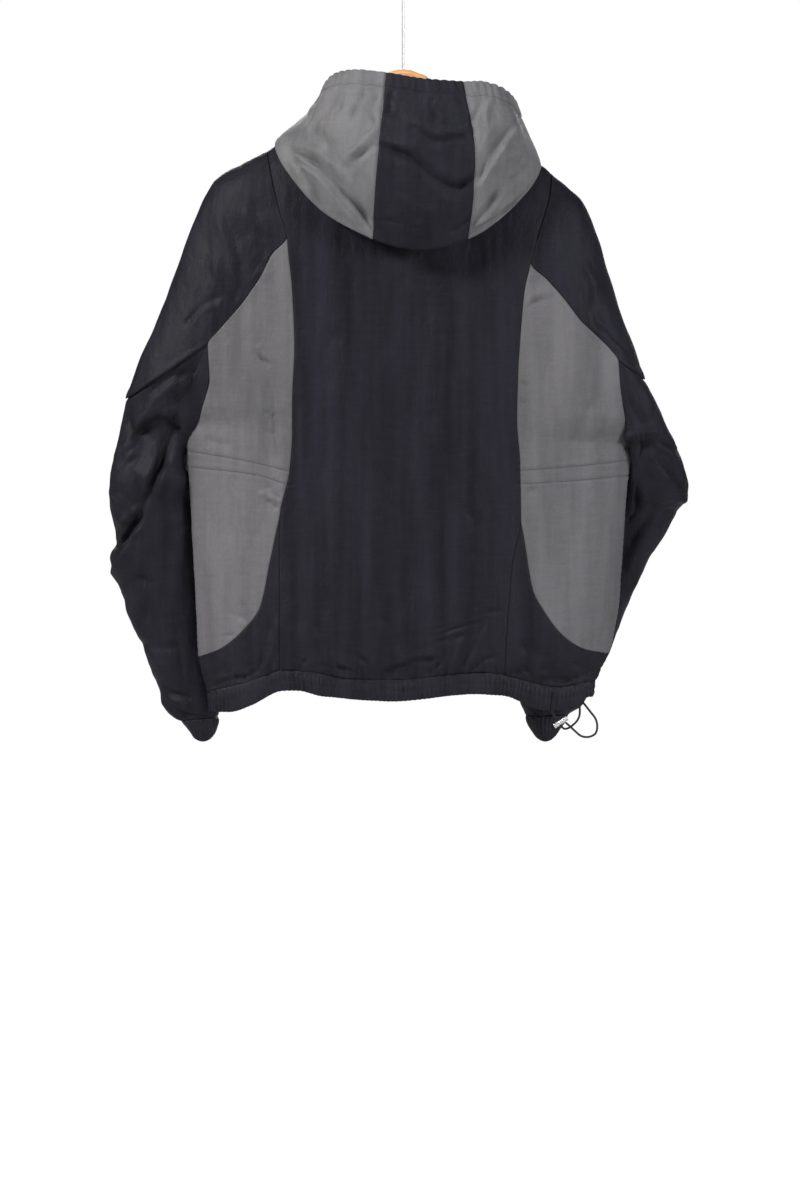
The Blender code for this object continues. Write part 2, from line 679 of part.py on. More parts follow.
def addMesh(name, points, faces, colour, collection):
    mesh = bpy.data.meshes.new(name)
    mesh.from_pydata([p * metre for p in points], [], faces)
    shell = bmesh.new()
    shell.from_mesh(mesh)
    bmesh.ops.recalc_face_normals(shell, faces=shell.faces)
    shell.to_mesh(mesh)
    shell.free()
    mesh.shade_smooth()
    mesh.set_sharp_from_angle(angle=math.radians(40))
    thing = bpy.data.objects.new(name, mesh)
    thing.data.materials.append(materials[colour])
    collection.objects.link(thing)
    return thing


# ---------------------------------------------------------------- materials

materials = {}


def makeMaterials():
    metals = {"wire": 0.9, "zip_metal": 0.8, "lock_metal": 1.0}
    roughness = {"wood": 0.45, "wire": 0.35, "zip_metal": 0.4, "lock_metal": 0.3}
    for name, colour in colours.items():
        material = bpy.data.materials.new(name)
        material.use_nodes = True
        shader = material.node_tree.nodes["Principled BSDF"]
        shader.inputs["Base Color"].default_value = colour
        shader.inputs["Roughness"].default_value = roughness.get(name, 0.7)
        shader.inputs["Metallic"].default_value = metals.get(name, 0.0)
        materials[name] = material


# ---------------------------------------------------------------- pieces

shoulderColumns = [0, 0.35, 0.7]        # from the cap's seam to the neck, alike on the back and the fronts


def columnShares(side, arm=left):
    """Shares of a panel's width at which its columns lie: one for each column of the hood at the neck."""
    start = outerSeam(arm, 0)
    end = outerSeam(right, 0) if side == back else arm * tapeHalf
    angles = sorted({round(stationAt(place)[0], 3) for places in hoodPlaces.values() for place in places})
    if side == back:
        necks = [a for a in angles if 90 <= a <= 270]
    elif arm == left:
        necks = [a for a in reversed(angles) if a <= 90]
    else:
        necks = [a for a in angles if a >= 270]
    shoulder = [mix(start, arm * neckHalf, share) for share in shoulderColumns]
    places = shoulder + [neckPoint(a)[0] for a in necks]
    if side == back:
        places += [mix(end, neckHalf, share) for share in reversed(shoulderColumns)]
    return [(x - start) / (end - start) for x in places]


def torsoMiddle(point):
    return Vector((0, 0, point.z))


def makeTorso():
    apex, tip, low, hem = (levelRow[n] for n in ("apex", "greyTip", "lowerTip", "hem"))
    panels["back_centre"] = (backCentreGrid(columnShares(back)), False, (0, -1, 0), "shell_black")
    for arm, word in ((left, "left"), (right, "right")):
        grey = sideGrid(arm, outerSeam, greyInner, apex, tip, 4)
        lower = sideGrid(arm, lowerOuter, princessSeam, low, hem, 3)
        closeTip(grey[0], lower[0])
        closeTip(grey[-1])
        panels["back_side_" + word] = (grey, False, (0, -1, 0), "shell_grey")
        panels["back_lower_" + word] = (lower, False, (0, -1, 0), "shell_black")
        panels["front_" + word] = (frontGrid(arm, columnShares(front, arm)), False, (0, 1, 0), "shell_black")


def closeTip(*lines):
    """Bring the points of a row that ends in a tip together."""
    for line in lines:
        for n in range(len(line)):
            line[n] = line[0].copy()


def makeArms():
    for arm, word in ((left, "left"), (right, "right")):
        panels["sleeve_cap_" + word] = (capGrid(arm), False, torsoMiddle, "shell_black")
        sleeve, angles = sleeveGrid(arm, sleeveRows)
        rings = sleeveRings[arm]
        def armMiddle(point, rings=rings):
            rows = [(-(r[1] + r[3]) / 2, (r[0] + r[2]) / 2, r[4]) for r in reversed(rings)]
            return Vector((along(rows, point.z, 1), along(rows, point.z, 2), point.z))
        panels["sleeve_" + word] = (sleeve, True, armMiddle, "shell_black")
        panels["cuff_" + word] = (cuffGrid(arm, angles), True, armMiddle, "shell_black")


def makeHood():
    facing = {"hood_left": (-1, -0.2, 0), "hood_centre": (0, -1, 0), "hood_right": (1, -0.2, 0)}
    for name, places in hoodPlaces.items():
        colour = "shell_black" if name == "hood_centre" else "hood_grey"
        panels[name] = (hoodGrid(places, hoodRows), False, facing[name], colour)


def bandGrid(topLine, side):
    """A gathered elastic band that hangs from a row of the panels."""
    grid = [[], [], []]
    count = 0
    for a, b in zip(topLine, topLine[1:]):
        pleats = max(1, round(2 * (b - a).length / bandPitch))
        steps = pleats if b is not topLine[-1] else pleats + 1
        for n in range(steps):
            top = a.lerp(b, n / pleats)
            bottomDrop = along(hemBottom, top.x)
            out = Vector((top.x / 260 * 0.5, side, 0)).normalized()
            wave = bandWave * (1 if count % 2 else -1)
            low = Vector((top.x * 0.985, top.y * 0.96, -bottomDrop))
            middle = top.lerp(low, 0.5) + out * (wave + 1.5)
            atEnd = (a is topLine[0] and n == 0) or (b is topLine[-1] and n == pleats)
            low += out * (0 if atEnd else wave)
            if atEnd:
                middle = top.lerp(low, 0.5)
            for line, point in zip(grid, (top, middle, low)):
                line.append(point)
            count += 1
    return grid


def makeHem():
    backLine = (panels["back_lower_left"][0][-1] + panels["back_centre"][0][-1][1:]
                + list(reversed(panels["back_lower_right"][0][-1]))[1:])
    panels["hem_back"] = (bandGrid(backLine, back), False, (0, -1, 0), "shell_black")
    for word in ("left", "right"):
        line = panels["front_" + word][0][-1]
        grid = bandGrid(line, front)
        panels["hem_front_" + word] = (grid, False, (0, 1, 0), "shell_black")


def makeZip():
    """Two tapes along the fronts and the collar, the slider, and the tab that swings on its bridge."""
    for arm, word, column in ((left, "left", 0), (right, "right", -1)):
        collar = [line[column] for line in reversed(panels["hood_" + word][0][1:])]
        edge = collar + [line[-1] for line in panels["front_" + word][0]]
        edge += [line[-1] for line in panels["hem_front_" + word][0][1:]]
        grid = [[point, Vector((arm * zipClear, point.y + 0.2, point.z))] for point in edge]
        panels["zip_tape_" + word] = (grid, False, (0, 1, 0), "zip_tape")


def makeSlider(collection, cutters):
    width, depth, height = sliderSize
    line = [(-row[0].z, row[0].y) for row in panels["zip_tape_left"][0]]
    seat = max(along(line, sliderDrop + n * height / 8) for n in range(-4, 5)) + 0.5
    body = bmesh.new()
    bmesh.ops.create_cube(body, size=1)
    bmesh.ops.scale(body, vec=(width, depth, height), verts=body.verts)
    points = [v.co + Vector((0, seat + depth / 2, -sliderDrop)) for v in body.verts]
    faces = [[v.index for v in face.verts] for face in body.faces]
    body.free()
    slider = addMesh("zip_slider", points, faces, "zip_metal", collection)
    edges = slider.modifiers.new("edges", "BEVEL")
    edges.width, edges.segments = 0.9 * metre, 2
    bow = []
    for n in range(9):
        turn = math.pi * n / 8
        bow.append(Vector((0, seat + depth - 0.8 + (bridgeReach + 0.8) * math.sin(turn),
                           -sliderDrop + 3.7 * math.cos(turn))))
    points, faces = tube(bow, bridgeThick / 2, 8)
    bridge = addMesh("bridge_shape", points, faces, "zip_metal", cutters)
    bridge.display_type, bridge.hide_render = "WIRE", True
    join = slider.modifiers.new("bridge", "BOOLEAN")
    join.operation, join.object, join.solver = "UNION", bridge, "EXACT"

    points, faces = [], []
    for up in pullRows:
        for x in pullColumns:
            narrow = 0.8 if up == pullRows[-1] else 1
            points.append(Vector((x * narrow, seat + depth + hingeOff, -sliderDrop + up)))
    for r in range(len(pullRows) - 1):
        for c in range(3):
            if (r, c) != (1, 1):
                a = r * 4 + c
                faces.append((a, a + 1, a + 5, a + 4))
    pull = addMesh("zip_pull", points, faces, "zip_metal", collection)
    plate = pull.modifiers.new("plate", "SOLIDIFY")
    plate.thickness, plate.offset = pullThick * metre, 0
    edges = pull.modifiers.new("edges", "BEVEL")
    edges.width, edges.segments = 0.25 * metre, 1


def tube(path, radius, sides):
    """Points and faces of a round bar along a path in the plane across = 0."""
    points, faces = [], []
    for n, point in enumerate(path):
        ahead = (path[min(n + 1, len(path) - 1)] - path[max(n - 1, 0)]).normalized()
        across = Vector((1, 0, 0))
        up = ahead.cross(across)
        for s in range(sides):
            turn = 2 * math.pi * s / sides
            points.append(point + (across * math.cos(turn) + up * math.sin(turn)) * radius)
    for n in range(len(path) - 1):
        for s in range(sides):
            a, b = n * sides + s, n * sides + (s + 1) % sides
            faces.append((a, b, b + sides, a + sides))
    faces += [tuple(range(sides)), tuple(reversed(range(len(points) - sides, len(points))))]
    return points, faces


def turned(profile, start, end, sides):
    """Points and faces of a solid turned about the line from start to end."""
    axis = end - start
    across = axis.cross(Vector((0, 1, 0))).normalized()
    up = axis.normalized().cross(across)
    points, faces = [], []
    for share, radius in profile:
        for s in range(sides):
            turn = 2 * math.pi * s / sides
            points.append(start + axis * share + (across * math.cos(turn) + up * math.sin(turn)) * radius)
    for n in range(len(profile) - 1):
        for s in range(sides):
            a, b = n * sides + s, n * sides + (s + 1) % sides
            faces.append((a, b, b + sides, a + sides))
    faces += [tuple(range(sides)), tuple(reversed(range(len(points) - sides, len(points))))]
    return points, faces


def wire(name, route, thickness, count, colour, collection):
    """A round cord or wire along a smooth curve through route points."""
    curve = bpy.data.curves.new(name, "CURVE")
    curve.dimensions = "3D"
    curve.bevel_depth = thickness / 2 * metre
    curve.bevel_resolution = 2
    curve.use_fill_caps = True
    spline = curve.splines.new("POLY")
    spline.points.add(count - 1)
    for n, point in enumerate(spline.points):
        x, drop, forward = through(route, n / (count - 1))
        point.co = (x * metre, forward * metre, -drop * metre, 1)
    thing = bpy.data.objects.new(name, curve)
    curve.materials.append(materials[colour])
    collection.objects.link(thing)


def makeCord(collection):
    for name, route in cordRoutes.items():
        length = sum(math.dist(a, b) for a, b in zip(route, route[1:]))
        wire(name, route, cordThick, round(length / (cordThick * 2.2)) + 1, "cord", collection)
    start, end = (Vector((x, forward, -drop)) for x, drop, forward in lockEnds)
    points, faces = turned(lockProfile, start, end, 12)
    addMesh("cord_lock", points, faces, "lock_metal", collection)
    grid = []
    for x, drop, forward, wide, fall in tetherRows:
        grid.append([Vector((x + side * wide, forward, -drop - side * fall)) for side in (-1, 0, 1)])
    panels["cord_tether"] = (grid, False, (0, -1, 0), "cord")


def shoulderLine():
    """Across and drop of the top of the cloth over the wood, point by point."""
    tops = [line[capColumns // 2] for word in ("left", "right") for line in panels["sleeve_cap_" + word][0]]
    tops += [p for p in panels["back_centre"][0][0] if abs(p.x) >= neckHalf - 1]
    return sorted({(round(p.x, 3), round(-p.z, 3)) for p in tops})


def makeHanger(collection):
    tops = shoulderLine()
    points, faces = [], []
    sides = 2 * len(woodSection) - 1
    tips = (woodHeights[0][0], woodHeights[-1][0])
    stations = [p[0] for p in woodCrown] + list(tips)
    stations += [p[0] for p in tops if tips[0] < p[0] < tips[1] and abs(p[0]) > woodCrown[-1][0] + 3]
    stations.sort()
    for x in stations:
        height = along(woodHeights, x)
        if abs(x) <= woodCrown[-1][0]:
            top = along(woodCrown, x)
        else:
            before = max(p for p in tops if p[0] < x)
            after = min(p for p in tops if p[0] > x)
            here = [p for p in tops if abs(p[0] - x) < 0.01]
            rise = (after[1] - before[1]) / (after[0] - before[0])
            line = here[0][1] if here else mix(before[1], after[1], (x - before[0]) / (after[0] - before[0]))
            top = line + woodSeat * math.hypot(1, rise)
        slim = 0.75 if x in tips else 1
        ring = [(off * slim, top + down + share * height + (1 - slim) * 6) for off, down, share in woodSection]
        ring += [(-off, drop) for off, drop in reversed(ring[1:])]
        points += [Vector((x, off, -drop)) for off, drop in ring]
    for n in range(len(stations) - 1):
        for s in range(sides):
            a, b = n * sides + s, n * sides + (s + 1) % sides
            faces.append((a, b, b + sides, a + sides))
    faces += [tuple(range(sides)), tuple(reversed(range(len(points) - sides, len(points))))]
    addMesh("hanger_wood", points, faces, "wood", collection)

    reach = hookInner + hookWire / 2
    route = []
    for angle in range(205, -56, -20):
        turn = math.radians(angle)
        route.append((reach * math.cos(turn), hookInner - reach * math.sin(turn), 0))
    route += [(3.2, 45, 0), (0.4, 56, 0), (0, shankStart, 0), (0, 110, 0), (0, woodTop - 0.3, 0)]
    wire("hanger_hook", route, hookWire, 44, "wire", collection)


def main():
    for thing in list(bpy.data.objects):
        bpy.data.objects.remove(thing)
    jacket = bpy.data.collections.new("windbreaker_jacket")
    cutters = bpy.data.collections.new("cutters")
    bpy.context.scene.collection.children.link(jacket)
    bpy.context.scene.collection.children.link(cutters)
    makeMaterials()
    layOutRows()
    makeTorso()
    makeArms()
    makeHood()
    makeHem()
    makeZip()
    makeCord(jacket)
    buildPanels(jacket)
    makeSlider(jacket, cutters)
    makeHanger(jacket)


main()
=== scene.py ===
import math

import bpy
import numpy as np
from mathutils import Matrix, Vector, noise


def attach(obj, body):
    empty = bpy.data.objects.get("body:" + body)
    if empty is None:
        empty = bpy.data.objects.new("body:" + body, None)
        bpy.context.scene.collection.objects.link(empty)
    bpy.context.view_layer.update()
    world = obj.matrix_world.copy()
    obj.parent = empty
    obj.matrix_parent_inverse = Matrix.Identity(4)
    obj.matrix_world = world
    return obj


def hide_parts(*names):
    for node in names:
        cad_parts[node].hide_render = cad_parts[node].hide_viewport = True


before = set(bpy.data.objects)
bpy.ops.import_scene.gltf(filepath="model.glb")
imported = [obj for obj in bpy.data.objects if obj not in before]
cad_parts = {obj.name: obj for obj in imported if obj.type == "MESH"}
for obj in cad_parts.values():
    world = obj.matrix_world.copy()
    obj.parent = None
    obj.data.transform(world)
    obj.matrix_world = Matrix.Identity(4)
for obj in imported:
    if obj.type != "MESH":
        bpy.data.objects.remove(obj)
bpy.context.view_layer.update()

metre = 0.001            # one millimetre in metres
left, right = -1, 1
back, front = -1, 1
words = {left: "left", right: "right"}

# lengths are in millimetres until a mesh is made: across is +X, drop is the distance below the hook's
# seat, and forward is +Y, towards the wearer's front


# camera, light and floor

view = {
    "eye": (-4, -8000, -540),        # where the camera stands
    "aim": (-4, 0, -850),            # what it looks at
    "frameHeight": 1560,             # height of the picture at the jacket
    "sensor": 36,
    "floorDrop": 1700,
    "floorReach": 9000,
    "roomLight": 0.09,               # strength of the plain light from all round
}
lights = {
    # name: place, aim, size, power in watts, colour
    "key": ((-2800, -2000, 1500), (0, 0, -600), 900, 138, (1.0, 0.985, 0.97)),
    "fill": ((3000, -2300, 200), (0, 0, -600), 1100, 72, (0.97, 0.98, 1.0)),
    "top": ((200, -900, 2300), (0, 0, -400), 1400, 22, (1, 1, 1)),
    "rearLeft": ((-500, 3300, 700), (0, 0, -600), 1300, 44, (1, 1, 1)),
    "rearRight": ((700, 3300, 0), (0, 0, -600), 1700, 26, (1, 1, 1)),
}


def aimAt(thing, place, target):
    thing.location = Vector(place) * metre
    thing.rotation_euler = (Vector(target) - Vector(place)).to_track_quat("-Z", "Y").to_euler()


def makeCamera(scene):
    camera = bpy.data.objects.new("camera", bpy.data.cameras.new("camera"))
    aimAt(camera, view["eye"], view["aim"])
    distance = (Vector(view["aim"]) - Vector(view["eye"])).length
    camera.data.sensor_width = view["sensor"]
    camera.data.lens = view["sensor"] * distance / view["frameHeight"]
    camera.data.clip_end = 100
    scene.collection.objects.link(camera)
    scene.camera = camera


def makeLights(scene):
    for name, (place, target, size, power, colour) in lights.items():
        lamp = bpy.data.lights.new(name, "AREA")
        lamp.shape, lamp.size, lamp.energy, lamp.color = "DISK", size * metre, power, colour
        thing = bpy.data.objects.new(name, lamp)
        aimAt(thing, place, target)
        scene.collection.objects.link(thing)


def makeRoom(scene):      # white behind the jacket, dimmer on the cloth
    world = scene.world = bpy.data.worlds.new("studio")
    world.use_nodes = True
    tree = world.node_tree
    sky = tree.nodes["Background"]
    sky.inputs["Color"].default_value = (1, 1, 1, 1)
    rays = tree.nodes.new("ShaderNodeLightPath")
    level = tree.nodes.new("ShaderNodeMapRange")
    level.inputs["To Min"].default_value = view["roomLight"]
    level.inputs["To Max"].default_value = 1.0
    tree.links.new(rays.outputs["Is Camera Ray"], level.inputs["Value"])
    tree.links.new(level.outputs["Result"], sky.inputs["Strength"])


def makeFloor(scene):      # paper that looks as white as the backdrop
    floor = bpy.data.meshes.new("floor")
    reach, drop = view["floorReach"] * metre, -view["floorDrop"] * metre
    turns = [t * math.pi / 32 for t in range(64)]
    floor.from_pydata([(reach * math.cos(t), reach * math.sin(t), drop) for t in turns], [], [range(64)])
    paper = bpy.data.materials.new("studioFloor")
    paper.use_nodes = True
    shader = paper.node_tree.nodes["Principled BSDF"]
    shader.inputs["Base Color"].default_value = (0.7, 0.7, 0.7, 1)
    shader.inputs["Roughness"].default_value = 0.9
    shader.inputs["Specular IOR Level"].default_value = 0.1
    shader.inputs["Emission Color"].default_value = (1, 1, 1, 1)
    seen = paper.node_tree.nodes.new("ShaderNodeLightPath")
    paper.node_tree.links.new(seen.outputs["Is Camera Ray"], shader.inputs["Emission Strength"])
    floor.materials.append(paper)
    ground = bpy.data.objects.new("floor", floor)
    scene.collection.objects.link(ground)


def makeStage():
    scene = bpy.context.scene
    scene.view_settings.view_transform = "Standard"
    makeCamera(scene)
    makeLights(scene)
    makeRoom(scene)
    makeFloor(scene)


makeStage()
print("stage: camera, lights and floor")


# curves

def hermite(keys, values, rise, key):
    key = np.clip(np.asarray(key, float), keys[0], keys[-1])
    i = np.clip(np.searchsorted(keys, key, side="right") - 1, 0, len(keys) - 2)
    span = keys[i + 1] - keys[i]
    t = (key - keys[i]) / span
    wide = t.shape + (1,) * (values.ndim - 1)
    span, t = span.reshape(wide), t.reshape(wide)
    return ((1 + 2 * t) * (1 - t) ** 2 * values[i] + t * (1 - t) ** 2 * span * rise[i]
            + t * t * (3 - 2 * t) * values[i + 1] + t * t * (t - 1) * span * rise[i + 1])


def along(table, key, column=1):      # a curve that never overshoots its table
    table = np.array(table, float)
    keys, values = table[:, 0], table[:, column]
    steps = np.diff(values) / np.diff(keys)
    a, b = steps[:-1], steps[1:]
    same = a * b > 0
    inner = np.where(same, 2 * a * b / np.where(same, a + b, 1), 0)
    return hermite(keys, values, np.concatenate((steps[:1], inner, steps[-1:])), key)


def bend(keys, values, key):          # a rounder curve through rows of points
    keys, values = np.array(keys, float), np.array(values, float)
    order = np.arange(len(keys))
    low, high = np.maximum(order - 1, 0), np.minimum(order + 1, len(keys) - 1)
    gap = (keys[high] - keys[low]).reshape((-1,) + (1,) * (values.ndim - 1))
    return hermite(keys, values, (values[high] - values[low]) / gap, key)


def reachAlong(points):      # distance of each point along its line
    return np.concatenate(([0], np.cumsum(np.linalg.norm(np.diff(points, axis=0), axis=1))))


def sampled(values, reach, places):      # rows of values at places along their line
    return np.stack([np.interp(places, reach, values[:, k]) for k in range(3)], axis=-1)


def through(points, share):
    points = np.array(points, float)
    reach = reachAlong(points)
    return bend(reach, points, np.asarray(share, float) * reach[-1])


def mix(a, b, share):
    return a + (b - a) * share


def smooth(low, high, value):
    t = np.clip((value - low) / (high - low), 0, 1)
    return t * t * (3 - 2 * t)


def stacked(across, forward, drop):
    return np.stack(np.broadcast_arrays(across, forward, -np.asarray(drop)), axis=-1)


# the jacket's cut: outline, seams and depth

cut = {
    "wall": 1.2,
    "seamGap": 0.3,
    # the line over the shoulder and down the arm, (across, drop)
    "ridge": {
        left: [(-87, 216), (-126, 238), (-165, 262), (-203, 281), (-242, 304), (-256, 324), (-265, 343),
               (-280, 382), (-294, 421), (-316, 480), (-341, 538), (-358, 586)],
        right: [(87, 223), (134, 256), (181, 288), (202, 304), (225, 324), (239, 343), (254, 382),
                (265, 421), (285, 480), (299, 518), (312, 561)],
    },
    # outer edge of the body, (drop, across)
    "edge": {
        left: [(268, -176), (304, -169), (343, -160), (380, -150), (402, -169), (429, -183), (464, -207),
               (500, -238), (517, -252), (560, -250), (585, -255), (617, -267), (637, -284), (667, -281),
               (710, -278), (756, -274), (841, -270), (923, -267), (954, -263), (970, -256)],
        right: [(295, 192), (314, 191), (377, 174), (413, 165), (435, 186), (461, 209), (487, 229),
                (507, 250), (526, 269), (538, 278), (563, 280), (593, 283), (633, 291), (648, 295),
                (669, 295), (698, 292), (785, 286), (855, 281), (906, 272), (942, 261), (955, 251)],
    },
    # seams beside the centre back, (drop, across)
    "princess": {
        left: [(268, -176), (304, -169), (343, -160), (380, -150), (408, -147), (447, -143), (525, -140),
               (590, -143), (629, -143), (684, -147), (710, -153), (737, -159), (785, -160), (970, -160)],
        right: [(295, 192), (314, 191), (377, 174), (413, 165), (447, 157), (486, 153), (564, 148),
                (616, 147), (672, 151), (746, 152), (797, 142), (863, 136), (970, 130)],
    },
    # curved lower edge of the grey panel, (drop, across)
    "curve": {
        left: [(737, -159), (799, -172), (858, -185), (889, -208), (912, -236), (924, -267)],
        right: [(746, 152), (773, 157), (836, 168), (867, 185), (892, 204), (912, 233), (920, 269)],
    },
    "hemTop": [(-256, 970), (-199, 955), (-155, 940), (-118, 942), (-72, 951), (-4, 952), (74, 944),
               (109, 943), (165, 955), (195, 962), (246, 955)],
    "hemBottom": [(-248, 995), (-230, 995), (-200, 986), (-159, 967), (-139, 966), (-103, 974), (-12, 980),
                  (91, 971), (127, 972), (187, 992), (231, 989), (243, 976)],
    # drops of the cut's levels: shoulder, top of the grey, end of the cap, underarm, top of the lower
    # piece, end of the grey, hem
    "levels": {left: [None, 380, 517, 637, 737, 924, 970], right: [None, 413, 538, 648, 746, 920, 955]},
    "slideHalf": 130,                     # between these the left's levels pass into the right's
    "crestLength": 120,                   # from the shoulder line down to the full depth
    "neckHalf": 87,                       # half the neck's width
    "neckFall": {back: 22, front: 81},    # how far the neckline falls below the shoulders
    "armholeShare": 0.8,                  # depth at the armhole, as a share of the middle's
    "sideFullness": 2.6,                  # a higher number is flatter, with rounder sides
    # drop, depth of the back, depth of the fronts
    "depth": [(190, 50, 52), (380, 54, 54), (525, 58, 55), (680, 53, 50), (790, 56, 52), (880, 57, 53),
              (930, 50, 46), (955, 41, 38), (1000, 39, 36)],
    # broad waves: across, width, depth, drop at the top, drop at the bottom
    "folds": {
        back: [(-166, 22, -3.5, 540, 730), (-70, 60, 2.5, 420, 900), (10, 70, -2.5, 400, 880),
               (80, 60, 2.5, 430, 900), (215, 50, -3, 520, 820)],
        front: [(-190, 50, 3, 480, 880), (-95, 55, -3, 360, 900), (90, 60, 3, 380, 900),
                (200, 50, -3, 500, 860)],
    },
}
shoulder, greyTop, capEnd, underarm, lowerTop, greyEnd, hemRow = range(7)


def ridgeDrop(x):
    rows = [p for p in reversed(cut["ridge"][left]) if p[0] > -250] + [(0, 190)]
    return along(rows + [p for p in cut["ridge"][right] if p[0] < 235], x)


def startLevels():      # where the panel's edge meets the shoulder line
    for arm in (left, right):
        x = cut["edge"][arm][0][1]
        for _ in range(9):
            x = along(cut["edge"][arm], ridgeDrop(x))
        cut["levels"][arm][shoulder] = float(ridgeDrop(x))


startLevels()


def neckPoint(angle):
    turn = np.radians(angle)
    x = -cut["neckHalf"] * np.sin(turn)
    ahead = np.cos(turn) > 0
    share = np.abs(np.cos(turn))
    fall = np.where(ahead, cut["neckFall"][front] * share ** 1.3, cut["neckFall"][back] * share ** 0.8)
    slope = (x + cut["neckHalf"]) / (2 * cut["neckHalf"])
    return x, mix(cut["ridge"][left][0][1], cut["ridge"][right][0][1], slope) + fall


def topDrop(side, x):
    turn = np.degrees(np.arcsin(np.clip(-x / cut["neckHalf"], -1, 1)))
    neck = neckPoint(turn if side == front else 180 - turn)[1]
    return np.where(np.abs(x) >= cut["neckHalf"], ridgeDrop(x), neck)


def levelDrop(arm, row):
    return np.interp(row, range(7), cut["levels"][arm])


lowEdges = {}


def lowEdge(arm):      # the side seam below the grey panel, as drops and distances across
    if arm not in lowEdges:
        rows = np.linspace(greyEnd, hemRow, 60)
        x = outerSeam(arm, rows)
        lowEdges[arm] = rowDrop(rows, x, None), np.abs(x)
    return lowEdges[arm]


def bodyForward(side, x, drop):
    x, drop = np.broadcast_arrays(np.asarray(x, float), np.asarray(drop, float))
    total = 0
    for arm in (left, right):
        ends = cut["levels"][arm]
        half = np.abs(along(cut["edge"][arm], np.maximum(drop, ends[capEnd])))
        half = np.where(drop > ends[greyEnd], np.interp(drop, *lowEdge(arm)), half)
        share = np.minimum(np.abs(x) / half, 1)
        rise = np.clip((ends[underarm] - drop) / (ends[underarm] - ends[capEnd]), 0, 1)
        edge = cut["armholeShare"] * np.sqrt(1 - (1 - rise) ** 2) * np.sqrt(smooth(0, 0.35, rise))
        # flat in the middle and round at the sides, with an open edge at the armhole
        profile = edge + (1 - edge) * (1 - share ** cut["sideFullness"]) ** mix(0.5, 1.0, rise)
        swell = 0
        for across, width, height, top, bottom in cut["folds"][side]:
            inside = np.clip((drop - top) / (bottom - top), 0, 1)
            swell = swell + height * np.sin(np.pi * inside) ** 2 * np.exp(-((x - across) / width * 2) ** 2)
        q = np.clip((drop - ridgeDrop(x)) / cut["crestLength"], 0, 1)
        crest = np.sqrt(1 - (1 - q) ** 2)
        depth = along(cut["depth"], drop, 1 if side == back else 2)
        here = depth * profile * crest + swell * np.minimum(1, 4 * (1 - share))
        total = np.where((x < 0) == (arm == left), here, total)
    return side * total


def rowDrop(row, x, topX, side=back):      # topX: where each line starts at the shoulder
    slide = np.clip((x + cut["slideHalf"]) / (2 * cut["slideHalf"]), 0, 1)
    drop = mix(levelDrop(left, row), levelDrop(right, row), slide)
    apex = mix(cut["levels"][left][greyTop], cut["levels"][right][greyTop], slide)
    tip = mix(cut["levels"][left][greyEnd], cut["levels"][right][greyEnd], slide)
    if topX is not None:
        drop = np.where(row < greyTop, mix(topDrop(side, topX), apex, np.minimum(row, 1)), drop)
    low = mix(tip, along(cut["hemTop"], x), np.clip(row - greyEnd, 0, 1))
    return np.where(row > greyEnd, low, drop)


def seamAcross(name, arm, row):
    x = along(cut[name][arm], levelDrop(arm, row))
    tip = along(cut[name][arm], cut["levels"][arm][greyEnd])
    low = along(cut[name][arm], cut["levels"][arm][hemRow])
    low = along(cut[name][arm], along(cut["hemTop"], low))
    return np.where(row > greyEnd, mix(tip, low, np.clip(row - greyEnd, 0, 1)), x)


def outerSeam(arm, row):
    return seamAcross("edge", arm, row)


def princessSeam(arm, row):
    return seamAcross("princess", arm, row)


def greyInner(arm, row):
    outer, curve = outerSeam(arm, row), seamAcross("curve", arm, row)
    curve = arm * np.minimum(np.abs(curve), np.abs(outer))
    return np.where(row <= lowerTop, princessSeam(arm, row), np.where(row >= greyEnd, outer, curve))


def lowerOuter(arm, row):
    return np.where(row > greyEnd, outerSeam(arm, row), greyInner(arm, row))


# grids of points for every piece of cloth

fine = {
    "rim": [0, 0.5, 1.2, 2.2, 3.6],      # lines this far from each seam
    # rows in each level, and a power that draws them to the level's start (above 1) or end (below 1)
    "rows": [(58, 2.0), (52, 1.0), (46, 1.0), (62, 1.0), (88, 0.62), (22, 0.75)],
    # lines across each panel, besides those of its rims
    "centre": 114,
    "side": 46,
    "lower": 36,
    "front": 58,
}
bodyRows = np.concatenate([[0]] + [
    level + (np.arange(1, count + 1) / count) ** power for level, (count, power) in enumerate(fine["rows"])])
cloth = {}       # each piece's grid of points, with what makes a shell of it


def spread(width, count):
    width = np.atleast_1d(np.asarray(width, float))[:, None]
    rim = np.array(fine["rim"]) * np.minimum(1, width / (4 * fine["rim"][-1]))
    inner = np.linspace(0, 1, count + 2)[1:-1]
    middle = rim[:, -1:] + (width - 2 * rim[:, -1:]) * inner
    places = np.concatenate((rim, middle, width - rim[:, ::-1]), axis=1)
    return places / np.maximum(width, 1e-6)


def bodyGrid(side, start, end, levels, count, topped=False):      # start and end: a seam and its arm
    rows = bodyRows[(bodyRows >= levels[0]) & (bodyRows <= levels[1])]
    a, b = (grooveShade(arm, rows) for grooveShade, arm in (start, end))
    shares = spread(np.abs(b - a), count)
    x = a[:, None] + (b - a)[:, None] * shares
    topX = a[0] + (b[0] - a[0]) * shares if topped else None
    drop = rowDrop(rows[:, None], x, topX, side)
    return stacked(x, bodyForward(side, x, drop), drop)


def addCloth(name, grid, facing, part, slot, closed=False, rolls=None, height=0, shift=0):
    cloth[name] = {
        "grid": grid, "facing": facing, "part": part, "slot": slot, "closed": closed, "shift": shift,
        "rolls": rolls or {}, "height": np.zeros(grid.shape[:2]) + height,
    }


def bodyMiddle(grid):
    return grid * (0, 0, 1)


def zipEdge(arm, row):
    return np.full_like(row, arm * zipper["tapeHalf"])


